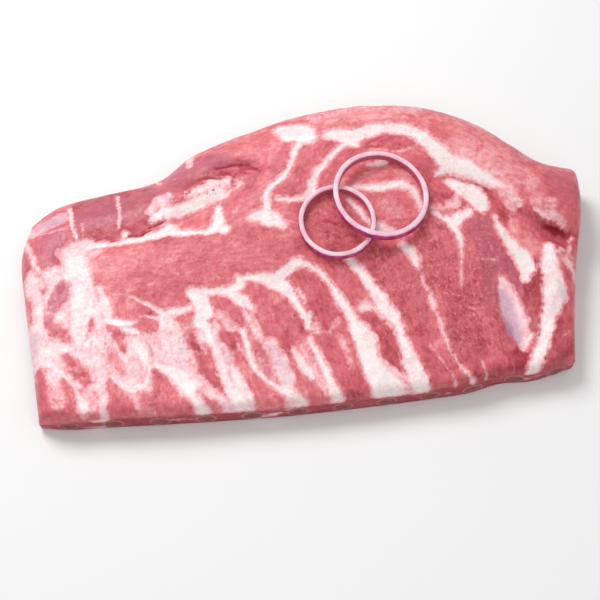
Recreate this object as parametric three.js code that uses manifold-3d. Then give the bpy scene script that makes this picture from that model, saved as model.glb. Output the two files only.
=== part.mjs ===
// A raw slab of pork spare ribs, meat side up, with two rings of red onion lying on it.
// Millimetres, +Z up. The slab is drawn in a frame of its own: x runs along the sawn edge from the flank end
// to the shoulder end, y runs from the sawn edge back to the brisket, and z is the height over the table.
// At the end the whole group is moved so that its origin is the middle of its underside.
import * as THREE from "three";
import { mergeVertices } from "three/addons/utils/BufferGeometryUtils.js";
import Module from "manifold-3d";

const wasm = await Module();
wasm.setup();

// ---------------------------------------------------------------------------------------------------------
// Driving dimensions
// ---------------------------------------------------------------------------------------------------------

// The slab's widest line, one side at a time: [x, y, its height, how far the wall tucks in below it].
const SAWN_EDGE = [
  [2, -3, 7, 1], [20, -7, 14, 1], [45, -9, 17, 1], [80, -12, 17, 1], [120, -15, 17, 1], [170, -18, 17, 1],
  [220, -19, 17, 1], [270, -19, 17, 1], [300, -18, 16, 1], [322, -14, 15, 1], [345, -15, 15, 1],
  [375, -10, 14, 2],
];
const SHOULDER_END = [
  [375, -10, 14, 2], [384, 25, 15, 3], [397, 70, 17, 4], [410, 108, 19, 5], [416, 146, 22, 6],
];
const BRISKET_EDGE = [
  [1, 163, 9, 5], [22, 176, 10, 7], [60, 182, 11, 8], [100, 188, 12, 8], [125, 206, 13, 9], [165, 219, 15, 10],
  [215, 227, 18, 12], [270, 227, 20, 14], [315, 217, 20, 14], [350, 196, 20, 12], [375, 170, 21, 10],
  [391, 154, 22, 8], [416, 146, 22, 6],
];
const FLANK_END = [[2, -3, 7, 1], [-1, 40, 10, 4], [-5, 90, 10, 5], [-7, 130, 9, 5], [1, 163, 9, 5]];
// How far in from each side the top rounds over, in the order sawn edge, shoulder end, brisket edge, flank end.
const ROUND_OVER = [6, 9, 34, 14];

// The top's height at stations along x, in four rows from the sawn edge to the brisket edge.
const STATIONS = [-5, 65, 135, 205, 275, 345, 415];
const CROWN = [
  [21, 22, 22, 22, 22, 21, 20],
  [24, 26, 27, 27, 27, 26, 24],
  [24, 30, 36, 42, 44, 39, 31],
  [20, 25, 32, 42, 48, 48, 40],
];

// Long forms on the top: a line, its half width and how far it stands up (or sinks, if negative).
const FORMS = {
  brisketFlap: { line: [[215, 208], [280, 200], [330, 172], [372, 132], [396, 112]], half: 24, rise: 4 },
  flapCrease: { line: [[303, 143], [325, 135], [340, 124], [354, 106], [372, 94], [392, 86]], half: 8, rise: -4 },
  flapPocket: { line: [[376, 88], [392, 86]], half: 9, rise: -5 },
  flankRoll: { line: [[10, 108], [18, 140], [60, 152], [100, 158], [135, 172]], half: 17, rise: 3.5 },
  flankSeam: { line: [[30, 117], [50, 126], [80, 127], [110, 133], [135, 143], [165, 157]], half: 8, rise: -3 },
  flankFold: { line: [[118, 168], [150, 176], [172, 175]], half: 8, rise: -3 },
  middleMuscle: { line: [[70, 98], [190, 104]], half: 24, rise: 2.2 },
  fanMuscle: { line: [[180, 150], [225, 178]], half: 18, rise: 2.2 },
  grainMuscle: { line: [[312, 92], [318, 20]], half: 20, rise: 2.5 },
  shoulderMuscle: { line: [[282, 84], [294, 0]], half: 11, rise: 1.6 },
  shoulderFat: { line: [[378, 74], [376, 45], [366, 20], [357, -4]], half: 8, rise: 2.6 },
  silverSkin: { line: [[332, 58], [334, 30], [338, 2]], half: 11, rise: -4 },
};

// Ribs: they leave the sawn edge side by side and fan out under the meat towards the brisket.
const RIBS = {
  count: 12,
  first: 22, // x of the first rib at the sawn edge
  last: 362,
  leanFirst: 8, // degrees from square with the sawn edge, towards the flank end
  leanMiddle: 15,
  leanLast: 3,
  lengthFirst: 88,
  lengthMiddle: 152,
  lengthLast: 112,
  width: 15,
  thickness: 9.5,
  footY: -12, // y of the line that the ribs start from
  overrun: 22, // how far a rib runs past that line before the saw cut takes it off
  tip: 0.45, // size of the far end, as a share of the rib
  height: 7.5, // of its middle, over the table, at the saw cut
  depth: 3, // of its middle, inside the meat, where the underside arches
  swell: 1.5, // how far the meat stands up over a rib
  swellEnds: [45, 85], // y over which that swelling fades
};

// The underside lies flat all round and arches over the ribs: where it leaves the table and comes back to it.
const UNDERSIDE = {
  arch: 7,
  alongStart: [8, 60],
  alongEnd: [335, 385],
  acrossStart: [-8, 45],
  acrossEnd: [95, 160],
};
const GAP = 0.3; // clearance between solids that touch

const RINGS = {
  large: { x: 259.9, y: 127.1, outerRadius: 35.2, wall: 4.2, depth: 6 },
  small: { x: 225.6, y: 112.5, outerRadius: 28.2, wall: 3.8, depth: 5.5 },
};

const RING_SQUARENESS = 0.45; // 1 makes a ring's section round, 0 square

// How finely the faces are cut.
const GRID = { along: 64, across: 36, wallRows: 3, closing: 0.35 }; // rows draw closer towards the edges
const UNDERSIDE_CELLS = { along: 22, across: 14 };
const BONE_FACES = { round: 10, along: 9 };
const RING_FACES = { around: 40, section: 8 };
const BELOW_TABLE = 4; // how far the meat reaches below the table before the underside is cut
const BOTTOM_MIDDLE = [205, 100];
// A box in plan, [low x, high x, low y, high y], that holds the whole slab with room to spare.
const AROUND = [-30, 435, -45, 250];

// ---------------------------------------------------------------------------------------------------------
// Small tools
// ---------------------------------------------------------------------------------------------------------

const bell = (t) => Math.exp(-t * t);
const lerp = THREE.MathUtils.lerp;
const smoothstep = THREE.MathUtils.smoothstep;

// A quarter circle's rise, from 0 at the edge to 1 where the rounding ends.
const quarter = (t) => Math.sqrt(1 - (1 - Math.min(Math.max(t, 0), 1)) ** 2);

// Even shares from 0 to 1, drawn a little closer together towards both ends.
const spaced = (t) => lerp(t, 0.5 - 0.5 * Math.cos(Math.PI * t), GRID.closing);

// Samples, spaced like that in plan, of a smooth curve through points that hold two further values each.
function smoothLine(points, steps) {
  const curveThrough = (places) => new THREE.CatmullRomCurve3(places, false, "centripetal");
  const plan = curveThrough(points.map(([x, y]) => new THREE.Vector3(x, y, 0)));
  const extra = curveThrough(points.map(([, , a, b]) => new THREE.Vector3(a, b, 0)));
  return Array.from({ length: steps + 1 }, (_, i) => {
    const t = plan.getUtoTmapping(spaced(i / steps));
    const p = plan.getPoint(t);
    const e = extra.getPoint(t);
    return [p.x, p.y, e.x, e.y];
  });
}

function distanceToLine(line, x, y) {
  let nearest = Infinity;
  for (let i = 0; i + 1 < line.length; i++) {
    const [ax, ay] = line[i];
    const [bx, by] = line[i + 1];
    const along = ((x - ax) * (bx - ax) + (y - ay) * (by - ay)) / ((bx - ax) ** 2 + (by - ay) ** 2);
    const t = Math.min(Math.max(along, 0), 1);
    nearest = Math.min(nearest, Math.hypot(x - lerp(ax, bx, t), y - lerp(ay, by, t)));
  }
  return nearest;
}

// A smooth value at position t along evenly spaced values.
function smoothValue(values, t) {
  const last = values.length - 1;
  const i = Math.min(Math.max(Math.floor(t), 0), last - 1);
  const at = (k) => values[Math.min(Math.max(k, 0), last)];
  const f = Math.min(Math.max(t - i, 0), 1);
  const [a, b, c, d] = [at(i - 1), at(i), at(i + 1), at(i + 2)];
  return b + 0.5 * f * (c - a + f * (2 * a - 5 * b + 4 * c - d + f * (3 * (b - c) + d - a)));
}

// ---------------------------------------------------------------------------------------------------------
// Solids from rings of points
// ---------------------------------------------------------------------------------------------------------

function geometryOf(points, triangles) {
  const geometry = new THREE.BufferGeometry();
  geometry.setAttribute("position", new THREE.Float32BufferAttribute(points.flat(), 3));
  geometry.setIndex(triangles.flat());
  return geometry;
}

// A closed solid through rings of as many points each, with its ends fanned shut. Each ring runs clockwise as
// seen from the end of the solid. If it loops, its last ring joins its first, and it has no ends.
function loft(rings, loops = false) {
  const n = rings[0].length;
  const points = rings.flat();
  const triangles = [];
  const joins = loops ? rings.length : rings.length - 1;
  for (let r = 0; r < joins; r++) {
    const next = (r + 1) % rings.length;
    for (let i = 0; i < n; i++) {
      const [a, b, c, d] = [r * n + i, r * n + ((i + 1) % n), next * n + ((i + 1) % n), next * n + i];
      triangles.push([a, c, b], [a, d, c]);
    }
  }
  if (!loops) {
    const top = (rings.length - 1) * n;
    for (let i = 1; i + 1 < n; i++) triangles.push([0, i, i + 1], [top, top + i + 1, top + i]);
  }
  return geometryOf(points, triangles);
}

function toSolid(geometry) {
  const bare = geometry.clone();
  bare.deleteAttribute("normal");
  bare.deleteAttribute("uv");
  const merged = mergeVertices(bare, 1e-4);
  return new wasm.Manifold(
    new wasm.Mesh({
      numProp: 3,
      vertProperties: new Float32Array(merged.attributes.position.array),
      triVerts: new Uint32Array(merged.index.array),
    }),
  );
}

function toGeometry(solid) {
  const mesh = solid.getMesh();
  const geometry = new THREE.BufferGeometry();
  geometry.setAttribute("position", new THREE.BufferAttribute(mesh.vertProperties, mesh.numProp));
  geometry.setIndex(new THREE.BufferAttribute(mesh.triVerts, 1));
  geometry.computeVertexNormals();
  return geometry;
}

// ---------------------------------------------------------------------------------------------------------
// The ribs
// ---------------------------------------------------------------------------------------------------------

// Where the underside of the meat lies: flat on the table all round, and arched over the ribs.
function undersideHeight(x, y) {
  const { arch, alongStart, alongEnd, acrossStart, acrossEnd } = UNDERSIDE;
  const along = smoothstep(x, ...alongStart) * (1 - smoothstep(x, ...alongEnd));
  const across = smoothstep(y, ...acrossStart) * (1 - smoothstep(y, ...acrossEnd));
  return arch * along * across;
}

// A point on one rib's middle line, from just outside the saw cut (s = 0) to its far end under the brisket.
function ribAt(index, s) {
  const share = index / (RIBS.count - 1);
  const leanDegrees = smoothValue([RIBS.leanFirst, RIBS.leanMiddle, RIBS.leanLast], share * 2);
  const lean = THREE.MathUtils.degToRad(leanDegrees);
  const length = smoothValue([RIBS.lengthFirst, RIBS.lengthMiddle, RIBS.lengthLast], share * 2);
  const reach = lerp(-RIBS.overrun, length, s);
  const x = lerp(RIBS.first, RIBS.last, share) - Math.sin(lean) * reach;
  const y = RIBS.footY + Math.cos(lean) * reach;
  const z = lerp(RIBS.height, UNDERSIDE.arch + RIBS.depth, undersideHeight(x, y) / UNDERSIDE.arch);
  return { x, y, z, lean };
}

// The closed solid of one rib, grown by a clearance. Its far end tapers to a blunt point.
function ribSolid(index, grow) {
  const rings = [];
  for (let k = 0; k <= BONE_FACES.along; k++) {
    const s = k / BONE_FACES.along;
    const rib = ribAt(index, s);
    const blunt = lerp(RIBS.tip, 1, quarter((1 - s) * 5));
    rings.push(
      Array.from({ length: BONE_FACES.round }, (_, i) => {
        const turn = (2 * Math.PI * (i + 0.5)) / BONE_FACES.round;
        const side = ((RIBS.width / 2) * blunt + grow) * Math.cos(turn);
        const rise = ((RIBS.thickness / 2) * blunt + grow) * Math.sin(turn);
        return [rib.x + side * Math.cos(rib.lean), rib.y + side * Math.sin(rib.lean), rib.z + rise];
      }),
    );
  }
  return toSolid(loft(rings));
}

// ---------------------------------------------------------------------------------------------------------
// The slab
// ---------------------------------------------------------------------------------------------------------

const sides = {
  sawn: smoothLine(SAWN_EDGE, GRID.along),
  shoulder: smoothLine(SHOULDER_END, GRID.across),
  brisket: smoothLine(BRISKET_EDGE, GRID.along),
  flank: smoothLine(FLANK_END, GRID.across),
};
const roundedSides = [sides.sawn, sides.shoulder, sides.brisket, sides.flank];

function crownHeight(x, v) {
  const step = STATIONS[1] - STATIONS[0];
  const rows = CROWN.map((row) => smoothValue(row, (x - STATIONS[0]) / step));
  return smoothValue(rows, v * (rows.length - 1));
}

// The meat swells over each rib near the sawn edge.
function ribSwell(x, y) {
  let rise = 0;
  for (let i = 0; i < RIBS.count; i++) {
    const line = [0.15, 0.4, 0.65].map((s) => ribAt(i, s)).map((rib) => [rib.x, rib.y]);
    rise = Math.max(rise, RIBS.swell * bell(distanceToLine(line, x, y) / 10));
  }
  return rise * (1 - smoothstep(y, ...RIBS.swellEnds));
}

function topHeight(x, y, v, rim) {
  let height = crownHeight(x, v) + ribSwell(x, y);
  for (const { line, half, rise } of Object.values(FORMS)) height += rise * bell(distanceToLine(line, x, y) / half);
  let rounding = 1;
  roundedSides.forEach((side, k) => (rounding *= quarter(distanceToLine(side, x, y) / ROUND_OVER[k])));
  return rim + (height - rim) * rounding;
}

// The patch between the four sides (a Coons patch): u runs along the slab and v from the sawn edge back.
function patchPoint(i, j) {
  const [u, v] = [spaced(i / GRID.along), spaced(j / GRID.across)];
  const { sawn, shoulder, brisket, flank } = sides;
  return sawn[0].map(
    (_, k) =>
      lerp(sawn[i][k], brisket[i][k], v) + lerp(flank[j][k], shoulder[j][k], u) -
      lerp(lerp(sawn[0][k], sawn.at(-1)[k], u), lerp(brisket[0][k], brisket.at(-1)[k], u), v),
  );
}

// The index of a point of the top's grid.
const topIndex = (i, j) => i * (GRID.across + 1) + j;

function addTop(points, triangles) {
  for (let i = 0; i <= GRID.along; i++) {
    for (let j = 0; j <= GRID.across; j++) {
      const [x, y, rim] = patchPoint(i, j);
      points.push([x, y, topHeight(x, y, spaced(j / GRID.across), rim)]);
    }
  }
  for (let i = 0; i < GRID.along; i++) {
    for (let j = 0; j < GRID.across; j++) {
      const [a, b, c, d] = [topIndex(i, j), topIndex(i + 1, j), topIndex(i + 1, j + 1), topIndex(i, j + 1)];
      triangles.push([a, b, c], [a, c, d]);
    }
  }
}

// The loop round the top, anticlockwise from above: each point's index in the grid, and its place on its side.
function edgeLoop() {
  const loop = [];
  for (let i = 0; i < GRID.along; i++) loop.push([topIndex(i, 0), sides.sawn[i]]);
  for (let j = 0; j < GRID.across; j++) loop.push([topIndex(GRID.along, j), sides.shoulder[j]]);
  for (let i = GRID.along; i > 0; i--) loop.push([topIndex(i, GRID.across), sides.brisket[i]]);
  for (let j = GRID.across; j > 0; j--) loop.push([topIndex(0, j), sides.flank[j]]);
  return loop;
}

// One row of the wall, a share t of the way from the widest line down to the table, tucked in as it falls.
function wallRow(loop, t, z) {
  return loop.map(([, [x, y, rim, tuck]], k) => {
    const [, before] = loop[(k + loop.length - 1) % loop.length];
    const [, after] = loop[(k + 1) % loop.length];
    const inward = new THREE.Vector2(before[1] - after[1], after[0] - before[0]).normalize();
    const inset = tuck * (1 - Math.sqrt(1 - 0.98 * t * t));
    return [x + inward.x * inset, y + inward.y * inset, z ?? rim * (1 - t)];
  });
}

// The wall from the widest line down, and the flat bottom below the table.
function addWallAndBottom(points, triangles) {
  const loop = edgeLoop();
  const rows = Array.from({ length: GRID.wallRows }, (_, k) => wallRow(loop, (k + 1) / GRID.wallRows));
  rows.push(wallRow(loop, 1, -BELOW_TABLE));
  let above = loop.map(([index]) => index);
  for (const row of rows) {
    const first = points.length;
    points.push(...row);
    row.forEach((_, k) => {
      const next = (k + 1) % row.length;
      triangles.push([first + k, first + next, above[next]], [first + k, above[next], above[k]]);
    });
    above = row.map((_, k) => first + k);
  }
  const middle = points.length;
  points.push([...BOTTOM_MIDDLE, -BELOW_TABLE]);
  above.forEach((a, k) => triangles.push([middle, above[(k + 1) % above.length], a]));
}

// The body of meat before its underside is cut and the ribs are let into it.
function meatBody() {
  const points = [];
  const triangles = [];
  addTop(points, triangles);
  addWallAndBottom(points, triangles);
  return toSolid(geometryOf(points, triangles));
}

// What lies under the meat: a block whose top is the arched underside.
function tableBlock() {
  const [x0, x1, y0, y1] = AROUND;
  const { along, across } = UNDERSIDE_CELLS;
  const floor = -5 * BELOW_TABLE;
  const sections = Array.from({ length: along + 1 }, (_, i) => {
    const x = lerp(x0, x1, i / along);
    const ys = Array.from({ length: across + 1 }, (_, j) => lerp(y0, y1, j / across));
    return [...ys.map((y) => [x, y, undersideHeight(x, y)]), [x, y1, floor], [x, y0, floor]];
  });
  return toSolid(loft(sections));
}

// Everything behind the saw cut, so that each rib ends flush with the sawn edge.
function behindSawCut() {
  const [x0, x1, , y1] = AROUND;
  const corners = [[x1, 0], [x1, y1], [x0, y1], [x0, 0]];
  const outline = new THREE.Shape([...sides.sawn, ...corners].map(([x, y]) => new THREE.Vector2(x, y)));
  const block = new THREE.ExtrudeGeometry(outline, { depth: 10 * BELOW_TABLE, bevelEnabled: false });
  block.translate(0, 0, -BELOW_TABLE);
  return toSolid(block);
}

// ---------------------------------------------------------------------------------------------------------
// The onion rings
// ---------------------------------------------------------------------------------------------------------

const downwards = new THREE.Raycaster();
function surfaceUnder(meshes, x, y) {
  downwards.set(new THREE.Vector3(x, y, 200), new THREE.Vector3(0, 0, -1));
  return downwards.intersectObjects(meshes)[0]?.point.z ?? 0;
}

// The plane a stiff ring settles to: the lowest one that passes over everything under the ring.
function settledPlane({ x, y, outerRadius, wall }, under) {
  const bed = [];
  for (let i = 0; i < 3 * RING_FACES.around; i++) {
    const turn = (2 * Math.PI * i) / (3 * RING_FACES.around);
    for (const share of [-0.1, 0.3, 0.7, 1.1]) {
      const [dx, dy] = [Math.cos(turn), Math.sin(turn)].map((part) => part * (outerRadius - share * wall));
      bed.push([dx, dy, surfaceUnder(under, x + dx, y + dy)]);
    }
  }
  const heightAt = ([slopeX, slopeY]) => Math.max(...bed.map(([dx, dy, z]) => z - slopeX * dx - slopeY * dy));
  const ways = [[0, 0], [1, 0], [-1, 0], [0, 1], [0, -1]];
  let slope = [0, 0];
  for (let step = 0.2; step > 0.0005; step /= 2) {
    for (let turn = 0; turn < 8; turn++) {
      const tries = ways.map(([a, b]) => [slope[0] + a * step, slope[1] + b * step]);
      slope = tries.reduce((best, next) => (heightAt(next) < heightAt(best) ? next : best));
    }
  }
  return { slope, height: heightAt(slope) + GAP };
}

// A slice of onion: a ring with a nearly square section, lying on that plane.
function ringGeometry(ring, under) {
  const { x, y, outerRadius, wall, depth } = ring;
  const { slope, height } = settledPlane(ring, under);
  const squared = (value) => Math.sign(value) * Math.abs(value) ** RING_SQUARENESS;
  const sections = Array.from({ length: RING_FACES.around }, (_, i) => {
    const turn = (2 * Math.PI * i) / RING_FACES.around;
    return Array.from({ length: RING_FACES.section }, (_, k) => {
      const corner = (2 * Math.PI * (k + 0.5)) / RING_FACES.section;
      const r = outerRadius - (wall / 2) * (1 - squared(Math.cos(corner)));
      const [dx, dy] = [r * Math.cos(turn), r * Math.sin(turn)];
      const z = height + slope[0] * dx + slope[1] * dy + (depth / 2) * (1 + squared(Math.sin(corner)));
      return [x + dx, y + dy, z];
    });
  });
  return loft(sections, true);
}

// ---------------------------------------------------------------------------------------------------------
// Materials and the finished group
// ---------------------------------------------------------------------------------------------------------

const meat = new THREE.MeshStandardMaterial({ name: "meat", color: 0xd8737e, roughness: 0.38, metalness: 0 });
const bone = new THREE.MeshStandardMaterial({ name: "bone", color: 0xe9d3da, roughness: 0.45, metalness: 0 });
const onion = new THREE.MeshStandardMaterial({ name: "onion", color: 0xf0b9d2, roughness: 0.3, metalness: 0 });

function named(name, geometry, material) {
  const mesh = new THREE.Mesh(geometry, material);
  mesh.name = name;
  return mesh;
}

const slab = new THREE.Group();

let body = meatBody().subtract(tableBlock());
const sawCut = behindSawCut();
for (let i = 0; i < RIBS.count; i++) {
  body = body.subtract(ribSolid(i, GAP));
  const rib = ribSolid(i, 0).intersect(sawCut);
  slab.add(named(`rib_${String(i + 1).padStart(2, "0")}`, toGeometry(rib), bone));
}
const meatMesh = named("meat", toGeometry(body), meat);
slab.add(meatMesh);

const smallRing = named("onion_ring_small", ringGeometry(RINGS.small, [meatMesh]), onion);
const largeRing = named("onion_ring_large", ringGeometry(RINGS.large, [meatMesh, smallRing]), onion);
slab.add(smallRing, largeRing);

const box = new THREE.Box3().setFromObject(slab);
const middle = box.getCenter(new THREE.Vector3());
slab.position.set(-middle.x, -middle.y, -box.min.z);

export default slab;
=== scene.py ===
import math

import bpy
import numpy as np
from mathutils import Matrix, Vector


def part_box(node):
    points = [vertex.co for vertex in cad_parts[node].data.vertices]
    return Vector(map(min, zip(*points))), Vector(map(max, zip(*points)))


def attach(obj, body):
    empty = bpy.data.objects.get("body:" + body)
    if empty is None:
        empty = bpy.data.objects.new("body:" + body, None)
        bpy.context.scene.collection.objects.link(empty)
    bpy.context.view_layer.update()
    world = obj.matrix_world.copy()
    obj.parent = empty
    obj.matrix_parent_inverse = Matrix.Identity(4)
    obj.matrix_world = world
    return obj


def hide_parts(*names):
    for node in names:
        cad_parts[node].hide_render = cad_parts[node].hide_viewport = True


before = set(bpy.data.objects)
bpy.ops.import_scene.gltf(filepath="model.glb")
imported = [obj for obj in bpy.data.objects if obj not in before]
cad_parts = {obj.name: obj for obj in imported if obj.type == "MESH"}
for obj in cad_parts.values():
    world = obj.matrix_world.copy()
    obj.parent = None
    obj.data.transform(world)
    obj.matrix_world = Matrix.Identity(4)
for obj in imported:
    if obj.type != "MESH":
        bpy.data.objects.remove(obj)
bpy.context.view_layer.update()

# A raw slab of pork spare ribs, meat side up, with two rings of red onion on it. Shapes are worked out in
# millimetres in the slab's own frame: x along the sawn edge from the flank end to the shoulder end, y from
# the sawn edge back to the brisket, z the height over the table. The meshes are in metres, in the frame
# that every piece of this row is in.
MM = 0.001

# ---- Sizes that the solids are made from ----

# The slab's widest line, one side at a time: x, y, its height, how far the wall tucks in below it.
SAWN_EDGE = [
    (2, -3, 7, 1), (20, -7, 14, 1), (45, -9, 17, 1), (80, -12, 17, 1), (120, -15, 17, 1), (170, -18, 17, 1),
    (220, -19, 17, 1), (270, -19, 17, 1), (300, -18, 16, 1), (322, -14, 15, 1), (345, -15, 15, 1),
    (375, -10, 14, 2),
]
SHOULDER_END = [(375, -10, 14, 2), (384, 25, 15, 3), (397, 70, 17, 4), (410, 108, 19, 5), (416, 146, 22, 6)]
BRISKET_EDGE = [
    (1, 163, 9, 5), (22, 176, 10, 7), (60, 182, 11, 8), (100, 188, 12, 8), (125, 206, 13, 9),
    (165, 219, 15, 10), (215, 227, 18, 12), (270, 227, 20, 14), (315, 217, 20, 14), (350, 196, 20, 12),
    (375, 170, 21, 10), (391, 154, 22, 8), (416, 146, 22, 6),
]
FLANK_END = [(2, -3, 7, 1), (-1, 40, 10, 4), (-5, 90, 10, 5), (-7, 130, 9, 5), (1, 163, 9, 5)]
ROUND_OVER = {"sawn": 6, "shoulder": 9, "brisket": 34, "flank": 14}
SOLID_STEPS = (64, 36)  # the solid's samples along the slab and across it

STATIONS = (-5, 65)  # x of the first two stations of the crown; the others follow as evenly
CROWN = [
    (21, 22, 22, 22, 22, 21, 20),
    (24, 26, 27, 27, 27, 26, 24),
    (24, 30, 36, 42, 44, 39, 31),
    (20, 25, 32, 42, 48, 48, 40),
]

# Long forms on the top: a line, its half width and how far it stands up (or sinks, if negative).
FORMS = {
    "brisket flap": ([(215, 208), (280, 200), (330, 172), (372, 132), (396, 112)], 24, 4),
    "flap crease": ([(303, 143), (325, 135), (340, 124), (354, 106), (372, 94), (392, 86)], 8, -4),
    "flap pocket": ([(376, 88), (392, 86)], 9, -5),
    "flank roll": ([(10, 108), (18, 140), (60, 152), (100, 158), (135, 172)], 17, 3.5),
    "flank seam": ([(30, 117), (50, 126), (80, 127), (110, 133), (135, 143), (165, 157)], 8, -3),
    "flank fold": ([(118, 168), (150, 176), (172, 175)], 8, -3),
    "middle muscle": ([(70, 98), (190, 104)], 24, 2.2),
    "fan muscle": ([(180, 150), (225, 178)], 18, 2.2),
    "grain muscle": ([(312, 92), (318, 20)], 20, 2.5),
    "shoulder muscle": ([(282, 84), (294, 0)], 11, 1.6),
    "shoulder fat": ([(378, 74), (376, 45), (366, 20), (357, -4)], 8, 2.6),
    "silver skin": ([(332, 58), (334, 30), (338, 2)], 11, -4),
}

RIB_COUNT = 12
RIB_FEET = (22, 362)  # x of the first and the last rib at the sawn edge
RIB_LEANS = (8, 15, 3)  # degrees towards the flank end: first, middle, last
RIB_LENGTHS = (88, 152, 112)
RIB_WIDTH = 15
RIB_THICKNESS = 9.5
RIB_FOOT_Y = -12
RIB_OVERRUN = 22
RIB_TIP = 0.45
RIB_HEIGHT = 7.5  # of its middle, over the table, at the saw cut
RIB_DEPTH = 3  # of its middle, inside the meat, where the underside arches
RIB_SWELL = 1.5  # how far the meat swells over a rib
RIB_SWELL_HALF = 10
RIB_SWELL_ALONG = (0.15, 0.4, 0.65)  # shares of the rib's line that the swell follows
RIB_SWELL_ENDS = (45, 85)

ARCH = 7
ARCH_ALONG = ((8, 60), (335, 385))
ARCH_ACROSS = ((-8, 45), (95, 160))

# The onion rings: middle, outer radius, wall, depth.
LARGE_RING = (259.9, 127.1, 35.2, 4.2, 6.0)
SMALL_RING = (225.6, 112.5, 28.2, 3.8, 5.5)

# ---- Sizes of the finer meshes ----

ALONG, ACROSS = 344, 190  # cells of the slab's top
UNDER_CELLS = (ALONG // 2, ACROSS // 2)
WALL_ROWS = 12
CORNER_REACH = 9  # how far from a corner of the slab its wall turns

# The top's finer relief.
MUSCLE_BULGE = 0.8  # muscle over the fat beside it
UNEVENNESS = ((0.8, 26, 3.1), (0.4, 7, 5.2))  # rise, size and seed
FIBRE_RISE, FIBRE_SIZE, FIBRE_STRETCH = 0.14, 1.6, 6
FOLD_DEPTH = 1.5
SILVER_SKIN_DEPTH = 0.5

# The wall's and the underside's.
WALL_CURVE = 0.98  # how far the wall turns under at its foot, 1 being level
WALL_RISE, WALL_SIZE, WALL_SQUEEZE = 0.7, 9, 2.5
WALL_FADE = 0.35  # how far down the top's markings fade out
STRATA_SIZE, STRATA_SQUEEZE = 22, 4
WALL_FIBRES, UNDER_FIBRES = 700, 900  # across, to keep their streaks apart from the top's
FILM_RISE, FILM_HALF = 0.9, 9  # the film over each rib
FILM_UNEVEN, FILM_SIZE = 0.5, 12
RIB_UNDER = (0.0, 0.3, 0.6, 0.85, 0.97)  # shares of a rib's line that the film follows

# The bones' and the onion rings'.
SECTION_POINTS, RING_POINTS = 28, 150
RIB_RISE, RIB_BUMPS = 0.3, 12
RING_CORNER, RING_RISE, RING_BUMPS = 0.9, 0.25, 9
RIB_STEPS = 30
RIB_LOOKS = 401  # places tried for the saw cut along a rib's line
RIB_NEAR_CUT = 40  # the one of them whose x is taken for the cut
RIB_PROUD = 0.3  # how far a bone stands out of the sawn face
RIB_TAPER = 5  # the end tapers over one part in this many of the line
CUT_RINGS = (0.02, 0.4, 0.75, 0.93, 1.0)  # girths over the cut end
CUT_RING_GAP = 2e-5
BAR_START = 0.03  # where the first whole section of a bar comes after the cut
BONE_CORE = -0.2  # the core value along the bar; at the cut end it runs from 0 to 1
BONE_CUT = (-0.1, 0.1)

# ---- Small tools ----


def lerp(a, b, t):
    return a + (b - a) * t


def smoothstep(t, low, high):
    t = np.clip((t - low) / (high - low), 0, 1)
    return t * t * (3 - 2 * t)


def bell(t):
    return np.exp(-t * t)


def quarter(t):
    """A quarter circle's rise, from 0 at the edge to 1 where the rounding ends."""
    return np.sqrt(1 - (1 - np.clip(t, 0, 1)) ** 2)


def spaced(t, closing=0.35):
    """Even shares, drawn a little closer together towards both ends."""
    return lerp(t, 0.5 - 0.5 * np.cos(np.pi * t), closing)


def run_along(points):
    """How far along a row of points each one lies."""
    return np.concatenate([[0], np.cumsum(np.linalg.norm(np.diff(points, axis=0), axis=1))])


def smooth_value(values, t):
    """A smooth value at position t along evenly spaced values, each of which may be an array."""
    values = [np.broadcast_to(np.asarray(v, float), np.shape(t)) for v in values]
    last = len(values) - 1
    i = np.clip(np.floor(t).astype(int), 0, last - 1)
    f = np.clip(t - i, 0, 1)
    stack = np.stack(values)
    a, b, c, d = (np.take_along_axis(stack, np.clip(i + k, 0, last)[None], 0)[0] for k in (-1, 0, 1, 2))
    return b + 0.5 * f * (c - a + f * (2 * a - 5 * b + 4 * c - d + f * (3 * (b - c) + d - a)))


def curve_through(points, t):
    """Centripetal curve through the points, at shares t."""
    points = np.asarray(points, float)
    row = np.vstack([2 * points[0] - points[1], points, 2 * points[-1] - points[-2]])
    last = len(points) - 1
    i = np.clip((t * last).astype(int), 0, last - 1)
    f = (t * last - i)[:, None]
    p = [row[i + k] for k in range(4)]
    gaps = [np.sqrt(np.linalg.norm(p[k + 1] - p[k], axis=1))[:, None] for k in range(3)]
    gaps[1] = np.where(gaps[1] < 1e-4, 1.0, gaps[1])
    gaps[0] = np.where(gaps[0] < 1e-4, gaps[1], gaps[0])
    gaps[2] = np.where(gaps[2] < 1e-4, gaps[1], gaps[2])

    def slope(a, b, c, before, after):
        return ((b - a) / before - (c - a) / (before + after) + (c - b) / after) * gaps[1]

    start = slope(p[0], p[1], p[2], gaps[0], gaps[1])
    end = slope(p[1], p[2], p[3], gaps[1], gaps[2])
    turn = p[2] - p[1]
    return p[1] + f * (start + f * (3 * turn - 2 * start - end + f * (start + end - 2 * turn)))


def side_line(points, steps):
    """The side's samples, spaced in plan: x, y, height, tuck."""
    points = np.asarray(points, float)
    even = np.linspace(0, 1, 201)
    run = run_along(curve_through(points[:, :2], even))
    t = np.interp(spaced(np.linspace(0, 1, steps + 1)) * run[-1], run, even)
    return np.hstack([curve_through(points[:, :2], t), curve_through(points[:, 2:], t)])


def distance_to_line(line, x, y, widths=None):
    """How far each point is from the line, less the line's own half width there where it has one."""
    nearest = np.full(np.shape(x), np.inf)
    for k in range(len(line) - 1):
        (ax, ay), (bx, by) = line[k][:2], line[k + 1][:2]
        along = ((x - ax) * (bx - ax) + (y - ay) * (by - ay)) / max((bx - ax) ** 2 + (by - ay) ** 2, 1e-9)
        t = np.clip(along, 0, 1)
        gap = np.hypot(x - lerp(ax, bx, t), y - lerp(ay, by, t))
        if widths is not None:
            gap = gap - lerp(widths[k], widths[k + 1], t)
        nearest = np.minimum(nearest, gap)
    return nearest


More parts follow.
